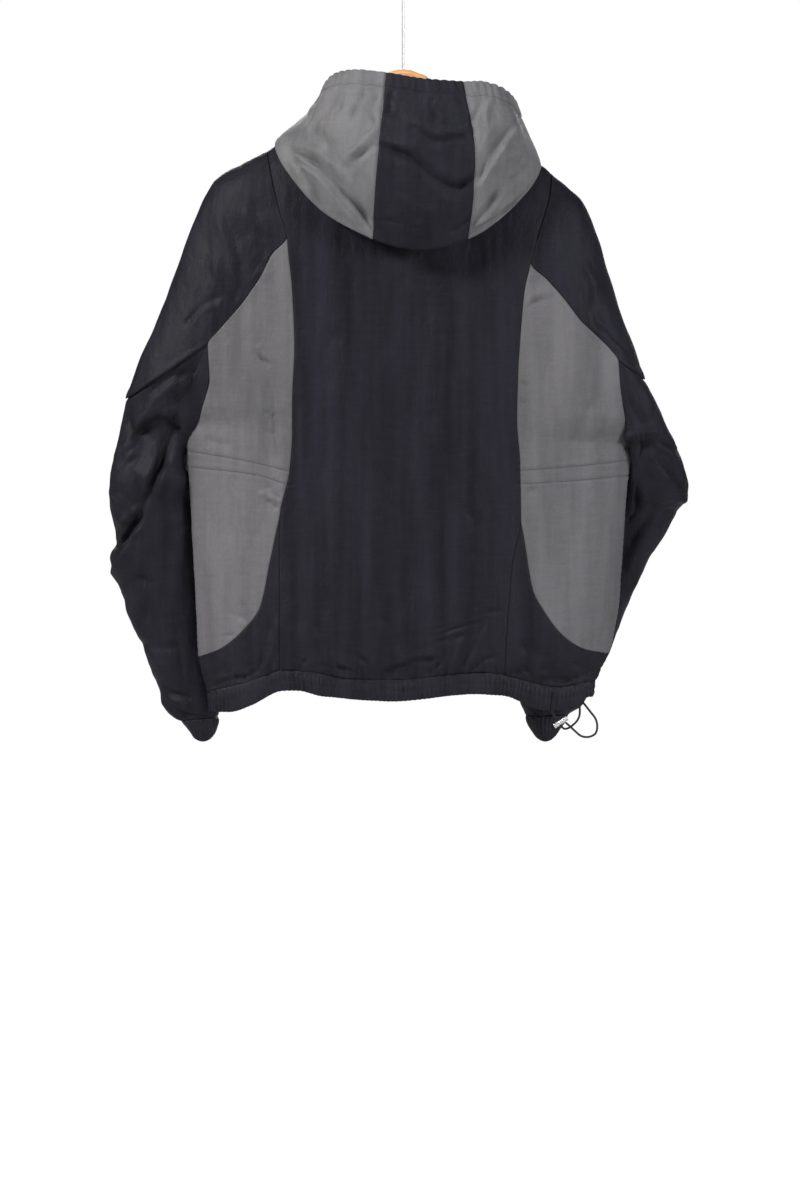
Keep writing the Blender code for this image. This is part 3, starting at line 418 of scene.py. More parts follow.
def makeBody():
    sewn = {"start": 0.5, "end": 0.5, "top": 0.5, "bottom": 0.3}
    grid = bodyGrid(back, (princessSeam, left), (princessSeam, right), (shoulder, hemRow),
                    fine["centre"], True)
    addCloth("back_centre", grid, (0, -1, 0), "body", "shell_black", rolls=sewn)
    for arm, word in words.items():
        grid = bodyGrid(back, (outerSeam, arm), (greyInner, arm), (greyTop, greyEnd), fine["side"])
        addCloth("back_side_" + word, grid, (0, -1, 0), "body", "shell_grey",
                 rolls={"start": 0.6, "end": 0.6})
        grid = bodyGrid(back, (lowerOuter, arm), (princessSeam, arm), (lowerTop, hemRow), fine["lower"])
        addCloth("back_lower_" + word, grid, (0, -1, 0), "body", "shell_black",
                 rolls={"start": 0.5, "end": 0.5, "bottom": 0.3})
        grid = bodyGrid(front, (outerSeam, arm), (zipEdge, arm), (shoulder, hemRow), fine["front"], True)
        addCloth("front_" + word, grid, (0, 1, 0), "body", "shell_black", rolls=sewn)


sleeves = {
    "armholeAngle": 105,  # where the cap's seam ends, in degrees round from the outside
    "capArc": (110, 60),  # length over the cap, and how far down its seam that is reached
    "capCount": 84,
    "length": 430,
    "rowCount": 168,
    "flap": 2.6,          # how far the cap's lower edge stands off the sleeve
    "overlap": 3.0,       # and how far it hangs over it
    "tuck": 1.5,          # how far the sleeve goes in under it
    "roundness": 0.72,    # a lower number is fuller
    # sections: outer across, drop, inner across, drop, forward, half depth
    "rings": {
        left: [(-369, 632, -279, 662, 20, 40), (-381, 690, -276, 694, 19, 44), (-382, 726, -273, 719, 29, 43),
               (-374, 772, -265, 757, 34, 41), (-382, 801, -261, 783, 37, 41), (-364, 850, -257, 834, 41, 40),
               (-341, 908, -252, 900, 43, 38), (-320, 967, -245, 955, 45, 36), (-308, 997, -239, 986, 45, 34),
               (-290, 1009, -242, 1004, 45, 29)],
        right: [(339, 616, 294.5, 672, 12, 42), (362, 665, 287, 697, 27, 43), (372, 711, 275, 720, 46, 43),
                (347, 754, 256, 730, 58, 41), (321, 794, 234, 760, 66, 40), (298, 850, 207, 818, 74, 39),
                (276, 908, 182, 879, 77, 38), (256, 948, 165, 928, 76, 36), (237, 988, 153, 977, 73, 34),
                (216, 1003, 161, 1004, 72, 29)],
    },
    "cuffs": {
        left: [(-283, 1018, -242, 1014, 45, 27), (-276, 1025, -247, 1025, 45, 24)],
        right: [(211, 1014, 164, 1015, 72, 27), (203, 1024, 174, 1029, 72, 23)],
    },
    "cuffSag": (0, 4, 11),      # how far each ring's middle hangs below its ends
    "cuffHeight": 30,
    "cuffRows": 9,
    "cuffTuck": (0.97, 2.0),    # the first line's size and rise, where it is sewn in behind the sleeve's end
    "cuffRound": 170,
    "cuffCount": 190,
    "cuffWave": 1.0,
    "cuffPitch": 5.6,
}


def capGrid(arm):
    rows = bodyRows[bodyRows <= capEnd]
    x, drop = outerSeam(arm, rows), levelDrop(arm, rows)
    start = (x[0], drop[0])
    ridge = [start] + [p for p in cut["ridge"][arm] if abs(p[0]) > abs(start[0]) + 2]
    reach = np.concatenate(([0], np.cumsum(np.hypot(np.diff(x), np.diff(drop)))))
    top = through(ridge, reach / reach[-1])
    over, reached = sleeves["capArc"]
    arc = np.hypot(top[:, 0] - x, top[:, 1] - drop) + over * np.sqrt(np.clip(reach / reached, 0, 1))
    turn = np.pi * spread(arc, sleeves["capCount"])
    out = np.sin(turn)
    behind, ahead = (bodyForward(side, x, drop)[:, None] for side in (back, front))
    sideways = np.where(turn < np.pi / 2, behind, ahead)
    return stacked(mix(x[:, None], top[:, :1], out), sideways * np.abs(np.cos(turn)),
                   mix(drop[:, None], top[:, 1:], out)), turn[-1] / np.pi


def ringPoints(ring, angle, sag=0):
    outerX, outerDrop, innerX, innerDrop, forward, half = ring
    turn = np.radians(angle)
    share = (1 - np.cos(turn)) / 2
    drop = mix(outerDrop, innerDrop, share) + sag * np.sqrt(np.sin(np.pi * np.clip(share, 0, 1)))
    bulge = np.sign(np.sin(turn)) * np.abs(np.sin(turn)) ** sleeves["roundness"]
    return stacked(mix(outerX, innerX, share), forward - half * bulge, drop)


def armMiddle(arm, grid):
    rings = sorted([((r[1] + r[3]) / 2, (r[0] + r[2]) / 2, r[4]) for r in sleeves["rings"][arm]])
    return stacked(along(rings, -grid[..., 2], 1), along(rings, -grid[..., 2], 2), -grid[..., 2])


def gathers(place, pitch, seed):      # uneven waves along a band, from -1 to 1, with narrow valleys
    wander = 0.9 * np.sin(place / 31 + seed) + 0.6 * np.sin(place / 13.7 + 2 * seed)
    size = 0.72 + 0.28 * np.sin(place / 21.3 + 3 * seed)
    return size * (1 - 2 * (1 - np.abs(np.sin(np.pi * place / pitch + wander))) ** 1.3)


def onFlap(shares):      # how far a place is from the two ends of the cap's lower edge, from 0 to 1
    return np.sin(np.pi * np.clip(shares, 0, 1)) ** 0.4


def makeCap(arm):
    cap, shares = capGrid(arm)
    below = lengthFrom(cap, "bottom")
    lift = smooth(16, 1, below) * sleeves["flap"] * onFlap(shares)
    down = np.array((0, 0, -1.0)) * sleeves["overlap"]
    shift = smooth(12, 0, below)[..., None] * down * onFlap(shares)[None, :, None]
    addCloth("sleeve_cap_" + words[arm], cap, bodyMiddle, "body", "shell_black",
             rolls={"start": 0.5, "end": 0.5, "bottom": 0.5}, height=lift, shift=shift)
    return cap, shares


def makeSleeve(arm, cap, shares):
    rows = bodyRows[(bodyRows > capEnd) & (bodyRows <= underarm)]
    x, drop = outerSeam(arm, rows), levelDrop(arm, rows)
    behind, ahead = (stacked(x, bodyForward(side, x, drop), drop) for side in (back, front))
    loop = np.concatenate((cap[-1], ahead[:-1], behind[::-1]))
    wide = sleeves["armholeAngle"]
    angles = np.concatenate((wide * (1 - 2 * shares), -wide - (180 - wide) * (rows[:-1] - capEnd),
                             wide - 360 + (180 - wide) * (rows[::-1] - capEnd)))
    guides = [loop] + [ringPoints(ring, angles) for ring in sleeves["rings"][arm]]
    steps = spread(sleeves["length"], sleeves["rowCount"])[0] * (len(guides) - 1)
    grid = bend(range(len(guides)), guides, steps)
    onCap = np.concatenate((onFlap(shares), np.zeros(len(loop) - len(shares))))
    tuck = -sleeves["tuck"] * smooth(10, 2, lengthFrom(grid, "top")) * onCap
    addCloth("sleeve_" + words[arm], grid, lambda g: armMiddle(arm, g), "arm", "shell_black", closed=True,
             rolls={"top": 0.7, "bottom": 0.8}, height=tuck)


def makeCuff(arm):
    first, around, count = sleeves["armholeAngle"], sleeves["cuffRound"], sleeves["cuffCount"]
    turns = np.linspace(first, first - 360, count, endpoint=False)
    rings = [sleeves["rings"][arm][-1]] + sleeves["cuffs"][arm]
    guides = [ringPoints(ring, turns, sag) for ring, sag in zip(rings, sleeves["cuffSag"])]
    down = spread(sleeves["cuffHeight"], sleeves["cuffRows"])[0] * 2
    grid = bend(range(3), guides, down)
    middle, (size, rise) = armMiddle(arm, grid[0]), sleeves["cuffTuck"]
    grid[0] = middle + (grid[0] - middle) * size + (0, 0, rise)
    place = np.linspace(0, around, count, endpoint=False)
    folds = gathers(place, around / round(around / sleeves["cuffPitch"]), arm)[None, :]
    folds = folds * sleeves["cuffWave"] * smooth(0, 0.35, down)[:, None]
    addCloth("cuff_" + words[arm], grid, lambda g: armMiddle(arm, g), "arm", "shell_black", closed=True,
             rolls={"top": 0.8, "bottom": 0.7}, height=folds)


def makeArms():
    for arm in (left, right):
        makeSleeve(arm, *makeCap(arm))
        makeCuff(arm)


def lengthFrom(grid, edge):      # distance of every point from one edge of its grid
    axis = 0 if edge in ("top", "bottom") else 1
    steps = np.linalg.norm(np.diff(grid, axis=axis), axis=-1)
    if edge in ("bottom", "end"):
        reach = np.flip(np.cumsum(np.flip(steps, axis), axis), axis)
        return np.concatenate((reach, np.zeros_like(reach.take([0], axis))), axis)
    reach = np.cumsum(steps, axis)
    return np.concatenate((np.zeros_like(reach.take([0], axis)), reach), axis)


hood = {
    # angle at the neck, face edge (across, drop, forward), middle of the outer face (across, forward),
    # fold (across, drop, forward), space between the layers at the fold
    "stations": [
        (4.285, -6.5, 232, 62, -6.5, 67, -6.5, 268, 65, 0),
        (35, -62, 222, 48, -72, 60, -72, 270, 62, 4),
        (65, -98, 207, 20, -120, 30, -134, 248, 26, 12),
        (90, -102, 197, -8, -126, -8, -156, 248, -6, 16),
        (108, -100, 182, -30, -117, -42, -165, 264, -34, 20),
        (128, -88, 170, -50, -116, -72, -146, 300, -60, 22),
        (146, -62, 165, -68, -84, -98, -104, 346, -78, 24),
        (165, -22, 169, -78, -31, -112, -39, 381, -92, 25),
        (182, 25, 177, -82, 30, -118, 22, 395, -96, 26),
        (200, 77, 180, -76, 92, -110, 84, 381, -90, 25),
        (216, 104, 180, -64, 122, -96, 124, 357, -78, 24),
        (234, 128, 188, -48, 148, -72, 161, 320, -62, 22),
        (252, 141, 198, -28, 154, -42, 178, 290, -36, 20),
        (270, 143, 208, -6, 158, -6, 170, 272, -6, 16),
        (296, 112, 216, 26, 136, 34, 146, 268, 28, 12),
        (325, 62, 228, 50, 72, 60, 72, 278, 62, 4),
        (355.715, 6.5, 232, 62, 6.5, 67, 6.5, 268, 65, 0),
    ],
    "keys": [0.0, 0.06, 0.11, 0.36, 0.44, 0.72, 1.0],      # heights of the lines from the neck to the edge
    "clear": 4.5,      # least distance from the body
    # first and last station, columns, and the way the piece faces
    "pieces": {"hood_left": (0, 7, 150, (-1, -0.4, 0)), "hood_centre": (7, 9, 44, (0, -1, 0)),
               "hood_right": (9, 16, 150, (1, -0.4, 0))},
    "stationLength": 55,
    # heights of the grid's rows: up the inside, down the outer face, and close together at its edge
    "insideRows": (0, 0.36, 30),
    "outsideRows": (0.36, 0.985, 104),
    "edgeRows": [0.988, 0.991, 0.994, 0.9965, 0.9985, 1.0],
    "casing": 21,           # width of the drawcord casing along the face edge
    "casingSwell": 1.5,
    "casingLine": 0.9,      # depth of the stitched line under it
    "gatherPitch": 10.5,
    "gatherDepth": 1.0,
}


def clearOfBody(points):      # moves the hood off the body, outwards or up, whichever is nearer
    x, forward, drop = points[..., 0], points[..., 1], -points[..., 2]
    side = np.where(forward > 0, front, back)
    surface = np.where(forward > 0, np.abs(bodyForward(front, x, drop)), np.abs(bodyForward(back, x, drop)))
    surface = surface + hood["clear"]
    free = (np.abs(x) > 250) | (drop < ridgeDrop(x) - hood["clear"]) | (np.abs(forward) > surface)
    out = surface - np.abs(forward)
    depth = np.where(forward > 0, along(cut["depth"], drop, 2), along(cut["depth"], drop, 1))
    lean = np.minimum(np.abs(forward) / depth, 1)
    up = drop - ridgeDrop(x) - cut["crestLength"] * (1 - np.sqrt(1 - lean * lean)) + hood["clear"]
    flat = lean > 0.97
    share = out * up / (out * out + up * up + 1e-9)
    newForward = np.where(flat, side * surface, forward + side * share * up)
    newDrop = np.where(flat, drop, drop - share * out)
    keep = free | (~flat & (up <= 0))
    return stacked(x, np.where(keep, forward, newForward), np.where(keep, drop, newDrop))


def hoodGrid(places, heights):
    stations = bend(range(len(hood["stations"])), hood["stations"], places)
    angle, casX, casDrop, casY, midX, midY, foldX, foldDrop, foldY, roll = stations.T
    x, drop = neckPoint(angle)
    turn = np.radians(angle)
    forward = np.where(np.cos(turn) > 0, bodyForward(front, x, drop), bodyForward(back, x, drop))
    neck = stacked(x, forward, drop - cut["seamGap"])
    fold = stacked(foldX, foldY, foldDrop)
    thrown = np.minimum(1, roll / 10)[:, None]
    out = stacked(-np.sin(turn), np.cos(turn), 0)
    up = np.array((0, 0, 9.0))
    # lines between the neck and the fold: over the seam, where the cloth bends, and up the inside
    rise = mix(mix(neck, fold, 0.2), neck + out + up, thrown)
    bent = mix(mix(neck, fold, 0.35), neck + out * 6 + up, thrown)
    inner = mix(mix(neck, fold, 0.6), fold - out * roll[:, None] + (0, 0, 14), thrown)
    edge = stacked(casX, casY, casDrop)
    middle = stacked(midX, midY, mix(casDrop, foldDrop, 0.45))
    grid = bend(hood["keys"], [neck, rise, bent, inner, fold, middle, edge], heights)
    share = np.clip(heights / hood["keys"][1], 0, 1)[:, None, None]
    return mix(grid, clearOfBody(grid), share)


def makeHood():
    heights = np.concatenate((np.linspace(*hood["insideRows"])[:-1], np.linspace(*hood["outsideRows"]),
                              hood["edgeRows"]))
    casing, startPlace = hood["casing"], 0
    for name, (first, last, count, facing) in hood["pieces"].items():
        places = first + (last - first) * spread((last - first) * hood["stationLength"], count)[0]
        grid = hoodGrid(places, heights)
        fromEdge = lengthFrom(grid, "bottom")
        place = startPlace + lengthFrom(grid[-1:], "start")
        startPlace = place[0, -1]
        onCasing = smooth(casing + 1, casing - 3, fromEdge)
        x, forward = grid[-1, :, 0], grid[-1, :, 1]
        strong = 0.55 + 0.9 * smooth(80, 125, x) * smooth(0, -60, forward) + 0.35 * smooth(-60, -100, x)
        wave = gathers(place, hood["gatherPitch"], 1.7) * strong[None, :] * hood["gatherDepth"]
        swell = hood["casingSwell"] * np.sqrt(np.clip(np.sin(np.pi * np.clip(fromEdge / casing, 0, 1)), 0, 1))
        below = np.exp(-((fromEdge - casing) / 9) ** 2) * (fromEdge > casing)
        line = -hood["casingLine"] * np.exp(-((fromEdge - casing) / 1.5) ** 2)
        height = swell + wave * onCasing + 0.5 * wave * below + line
        shift = np.zeros(grid.shape)
        shift[..., 2] = 0.9 * wave * smooth(casing, 2, fromEdge)
        addCloth(name, grid, facing, "hood", "shell_black" if name == "hood_centre" else "hood_grey",
                 rolls={"start": 0.6, "end": 0.6, "bottom": 0.8}, height=height, shift=shift)
        # the folds are on the outer face
        cloth[name]["outer"] = smooth(0.38, 0.5, heights)[:, None] * np.ones(grid.shape[:2])


hem = {
    "step": 1.5,
    "height": 26,
    "rows": 9,
    "narrow": (0.985, 0.96),      # how it draws in at its lower edge, across and forward
    "wave": 1.5,         # height and pitch of the gathers
    "pitch": 5.6,
    "belly": 1.5,        # how far the middle of the band stands out
    "channel": 0.5,      # depth of the line between its two rows of elastic
    "tuck": 1.8,         # how far it goes in behind the body
    "rolls": {"top": 0.35, "bottom": 0.7, "start": 0.7, "end": 0.7},
}


def resampled(line, step):
    reach = reachAlong(line)
    places = np.linspace(0, reach[-1], round(reach[-1] / step) + 1)
    return sampled(line, reach, places), places


def bandGrid(topLine, side, seed):
    top, place = resampled(topLine, hem["step"])
    out = stacked(top[:, 0] / 520, np.full(len(top), side), 0)
    out /= np.linalg.norm(out, axis=1)[:, None]
    wide, deep = hem["narrow"]
    low = stacked(top[:, 0] * wide, top[:, 1] * deep, along(cut["hemBottom"], top[:, 0]))
    down = spread(hem["height"], hem["rows"])[0][:, None, None]
    ends = smooth(0, 4, np.minimum(place, place[-1] - place))[None, :]
    grid = mix(top, low, down) + out * hem["belly"] * 4 * down * (1 - down) * ends[..., None]
    grid[0] += (0, 0, hem["tuck"]) - 0.8 * out      # it is sewn in behind the lower edge of the body
    folds = gathers(place, hem["pitch"], seed)[None, :] * ends * hem["wave"] * smooth(0, 0.3, down[..., 0])
    folds *= 0.75 + 0.25 * np.sin(7 * down[..., 0] + place[None, :] / 9)
    folds -= hem["channel"] * np.exp(-((down[..., 0] - 0.5) / 0.06) ** 2)
    return grid, folds


def makeHem():
    line = np.concatenate((cloth["back_lower_left"]["grid"][-1], cloth["back_centre"]["grid"][-1][1:],
                           cloth["back_lower_right"]["grid"][-1][::-1][1:]))
    grid, folds = bandGrid(line, back, 0.4)
    addCloth("hem_back", grid, (0, -1, 0), "body", "shell_black", rolls=hem["rolls"], height=folds)
    for arm, word in words.items():
        grid, folds = bandGrid(cloth["front_" + word]["grid"][-1], front, 1.1 * arm)
        addCloth("hem_front_" + word, grid, (0, 1, 0), "body", "shell_black", rolls=hem["rolls"],
                 height=folds)


zipper = {
    "tapeHalf": 6.5,
    "clear": 0.4,
    "step": 2.4,
    "toothPitch": 2.6,
    "toothSize": (3.0, 2.0, 1.5),      # reach from the tape's edge, depth, height
    "toothOutline": [(-0.35, 0.36), (0.1, 0.36), (0.45, 0.5), (0.45, -0.5), (0.1, -0.36), (-0.35, -0.36)],
    "toothLevels": [(0.0, 1.0), (0.7, 1.0), (1.0, 0.7)],      # share of the depth, size of the outline
    "sliderDrop": 246,
    "sliderClear": 8,
}


def makeTapes():
    for arm, word in words.items():
        edge = np.concatenate((cloth["hood_" + word]["grid"][::-1, 0 if arm == left else -1][:-1],
                               cloth["front_" + word]["grid"][:, -1],
                               cloth["hem_front_" + word]["grid"][1:, -1]))
        edge = resampled(edge, zipper["step"])[0][:, None]
        inner = edge * (0, 1, 1) + (arm * zipper["clear"], 0.2, 0)
        tape = mix(edge, inner, np.linspace(0, 1, 6)[None, :, None])
        addCloth("zip_tape_" + word, tape, (0, 1, 0), "tape", "zip_tape", rolls={"start": 0.5})


makeBody()
makeArms()
makeHood()
makeHem()
makeTapes()
print("grids:", {name: piece["grid"].shape[:2] for name, piece in cloth.items()})


# creases, each with its width, its depth (below zero for a ridge), the side on which the cloth bulges
# beside it (-1, 0 or 1) and its line as (across, drop)

creases = {
    "back": [
        # left shoulder and sleeve
        (4, 2.2, 1, [(-187, 372), (-182, 392), (-178, 411)]),
        (6, -2.4, 0, [(-199, 441), (-188, 430), (-179, 411)]),
        (4, 1.9, 1, [(-233, 330), (-226, 366), (-216, 402), (-205, 440)]),
        (5, 1.4, -1, [(-256, 372), (-252, 410), (-246, 452)]),
        (9, -1.7, 0, [(-242, 340), (-237, 400), (-234, 480)]),
        (4, 1.3, 1, [(-196, 330), (-190, 352), (-186, 372)]),
        (5, 1.3, 0, [(-270, 430), (-262, 470), (-262, 505)]),
        (4, 1.1, -1, [(-228, 420), (-216, 448), (-220, 474)]),
        (5, 1.6, 0, [(-225, 452), (-262, 470), (-290, 500)]),
        # left grey panel
        (4, 2.3, -1, [(-194, 523), (-182, 534), (-168, 546)]),
        (3, 1.5, -1, [(-172, 556), (-166, 600), (-163, 640), (-161, 690), (-161, 722)]),
        (3, 1.4, 0, [(-180, 602), (-164, 611)]),
        (3, 1.2, 0, [(-178, 628), (-163, 633)]),
        (4, 2.0, 1, [(-182, 697), (-168, 708), (-156, 720)]),
        (4, 1.6, 0, [(-178, 716), (-158, 730)]),
        (8, 1.5, 0, [(-204, 848), (-208, 862), (-213, 880)]),
        (7, 1.1, 0, [(-226, 890), (-222, 908)]),
        (12, 1.4, 0, [(-246, 560), (-236, 620), (-228, 650)]),
        (9, 1.2, 0, [(-262, 700), (-250, 750), (-246, 800)]),
        (11, 1.0, 0, [(-214, 712), (-208, 760), (-196, 820)]),
        (7, 1.1, 0, [(-262, 640), (-236, 648), (-214, 650)]),
        # right shoulder and sleeve
        (4, 1.3, 1, [(206, 330), (210, 372), (216, 410)]),
        (5, 1.4, -1, [(224, 400), (232, 440), (244, 478)]),
        (10, -1.4, 0, [(192, 340), (196, 390), (204, 430)]),
        (4, 1.2, 0, [(184, 352), (196, 366), (214, 372)]),
        (7, 1.5, 0, [(236, 420), (244, 470), (262, 510)]),
        (5, 1.8, 1, [(252, 484), (274, 512), (300, 530)]),
        # right grey panel
        (4, 1.4, -1, [(155, 474), (172, 461), (200, 456)]),
        (10, 1.9, 0, [(187, 500), (184, 560), (181, 624)]),
        (9, 1.6, 0, [(254, 574), (244, 600), (232, 624)]),
        (3, 1.5, 0, [(150, 566), (162, 573)]),
        (3, 1.3, 0, [(150, 590), (161, 594)]),
        (4, 1.8, 0, [(286, 636), (292, 646), (296, 658)]),
        (5, 1.4, 0, [(256, 716), (274, 712)]),
        (12, 1.2, 0, [(216, 700), (222, 760), (236, 830)]),
        (10, 1.1, 0, [(258, 740), (262, 800), (256, 860)]),
        (7, 1.2, 0, [(206, 640), (232, 646), (262, 642)]),
        (5, 1.3, 0, [(162, 700), (176, 712)]),
        # centre back
        (9, 1.6, 0, [(64, 712), (88, 738), (110, 760)]),
        (8, 1.2, 0, [(-6, 433), (14, 442), (30, 447)]),
        (8, 1.1, 0, [(-102, 498), (-88, 510), (-74, 519)]),
        (16, 1.3, 0, [(-118, 400), (-112, 520), (-118, 640)]),
        (18, -1.3, 0, [(-96, 520), (-88, 660), (-92, 800)]),
        (16, 1.2, 0, [(-40, 470), (-34, 600), (-40, 760)]),
        (15, -1.1, 0, [(44, 440), (40, 560), (46, 690)]),
        (16, 1.3, 0, [(116, 450), (108, 580), (112, 700)]),
        (14, 1.2, 0, [(-126, 760), (-108, 830), (-102, 900)]),
        (10, 1.2, 0, [(-150, 860), (-128, 900), (-118, 936)]),
        (12, 1.2, 0, [(0, 800), (-8, 860), (-4, 920)]),
        (7, 1.3, 0, [(-200, 930), (-186, 945)]),
        (7, 1.3, 0, [(176, 925), (190, 945)]),
        (6, 1.2, 0, [(150, 905), (170, 918), (196, 920)]),
        (6, 1.2, 0, [(-240, 935), (-222, 948)]),
    ],
    "front": [
        (14, 1.7, 0, [(-120, 330), (-112, 420), (-120, 520)]),
        (16, -1.4, 0, [(-70, 420), (-74, 560), (-66, 700)]),
        (10, 2.0, 1, [(-246, 560), (-200, 540), (-150, 556)]),
        (8, 2.0, -1, [(-258, 640), (-214, 652), (-170, 640)]),
        (8, 1.6, 0, [(-230, 700), (-190, 742), (-150, 766)]),
        (12, 1.4, 0, [(-150, 760), (-136, 840), (-146, 910)]),
        (7, 1.8, 1, [(-110, 905), (-80, 890), (-40, 900)]),
        (6, 1.5, 0, [(-220, 900), (-200, 922), (-190, 944)]),
        (5, 1.4, 0, [(-60, 928), (-40, 936)]),
        (12, 1.6, 0, [(130, 350), (124, 440), (132, 540)]),
        (15, -1.5, 0, [(76, 430), (82, 560), (74, 700)]),
        (9, 2.1, -1, [(262, 590), (220, 566), (172, 580)]),
        (7, 1.7, 0, [(270, 650), (236, 668), (196, 660)]),
        (8, 1.7, 0, [(150, 690), (190, 730), (214, 772)]),
        (11, 1.3, 0, [(216, 790), (206, 850), (216, 906)]),
        (7, 1.7, -1, [(40, 905), (84, 884), (120, 890)]),
        (6, 1.5, 0, [(150, 924), (172, 932)]),
        (10, 1.4, 0, [(-205, 350), (-212, 400), (-222, 440)]),
        (9, 1.4, 0, [(206, 370), (214, 420), (232, 470)]),
        # fronts of the sleeves
        (7, 2.6, 1, [(-272, 600), (-310, 610), (-350, 640)]),
        (7, 2.2, -1, [(-286, 660), (-320, 672), (-360, 668)]),
        (7, 2.6, 1, [(-270, 742), (-304, 726), (-330, 700)]),
        (7, 2.2, 0, [(-268, 776), (-310, 762), (-352, 770)]),
        (9, 1.7, 0, [(-262, 830), (-300, 822), (-350, 836)]),
        (9, 1.5, 0, [(-256, 900), (-290, 890), (-330, 900)]),
        (7, 1.5, 0, [(-246, 965), (-280, 956), (-312, 966)]),
        (7, 2.5, -1, [(300, 600), (322, 620), (350, 628)]),
        (7, 2.4, 1, [(292, 690), (326, 684), (366, 690)]),
        (8, 2.0, 0, [(262, 748), (300, 736), (346, 744)]),
        (8, 1.8, 0, [(232, 800), (270, 792), (312, 806)]),
        (9, 1.6, 0, [(204, 850), (240, 846), (292, 862)]),
        (8, 1.5, 0, [(182, 905), (222, 900), (268, 916)]),
        (7, 1.5, 0, [(164, 960), (200, 950), (242, 968)]),
    ],
}
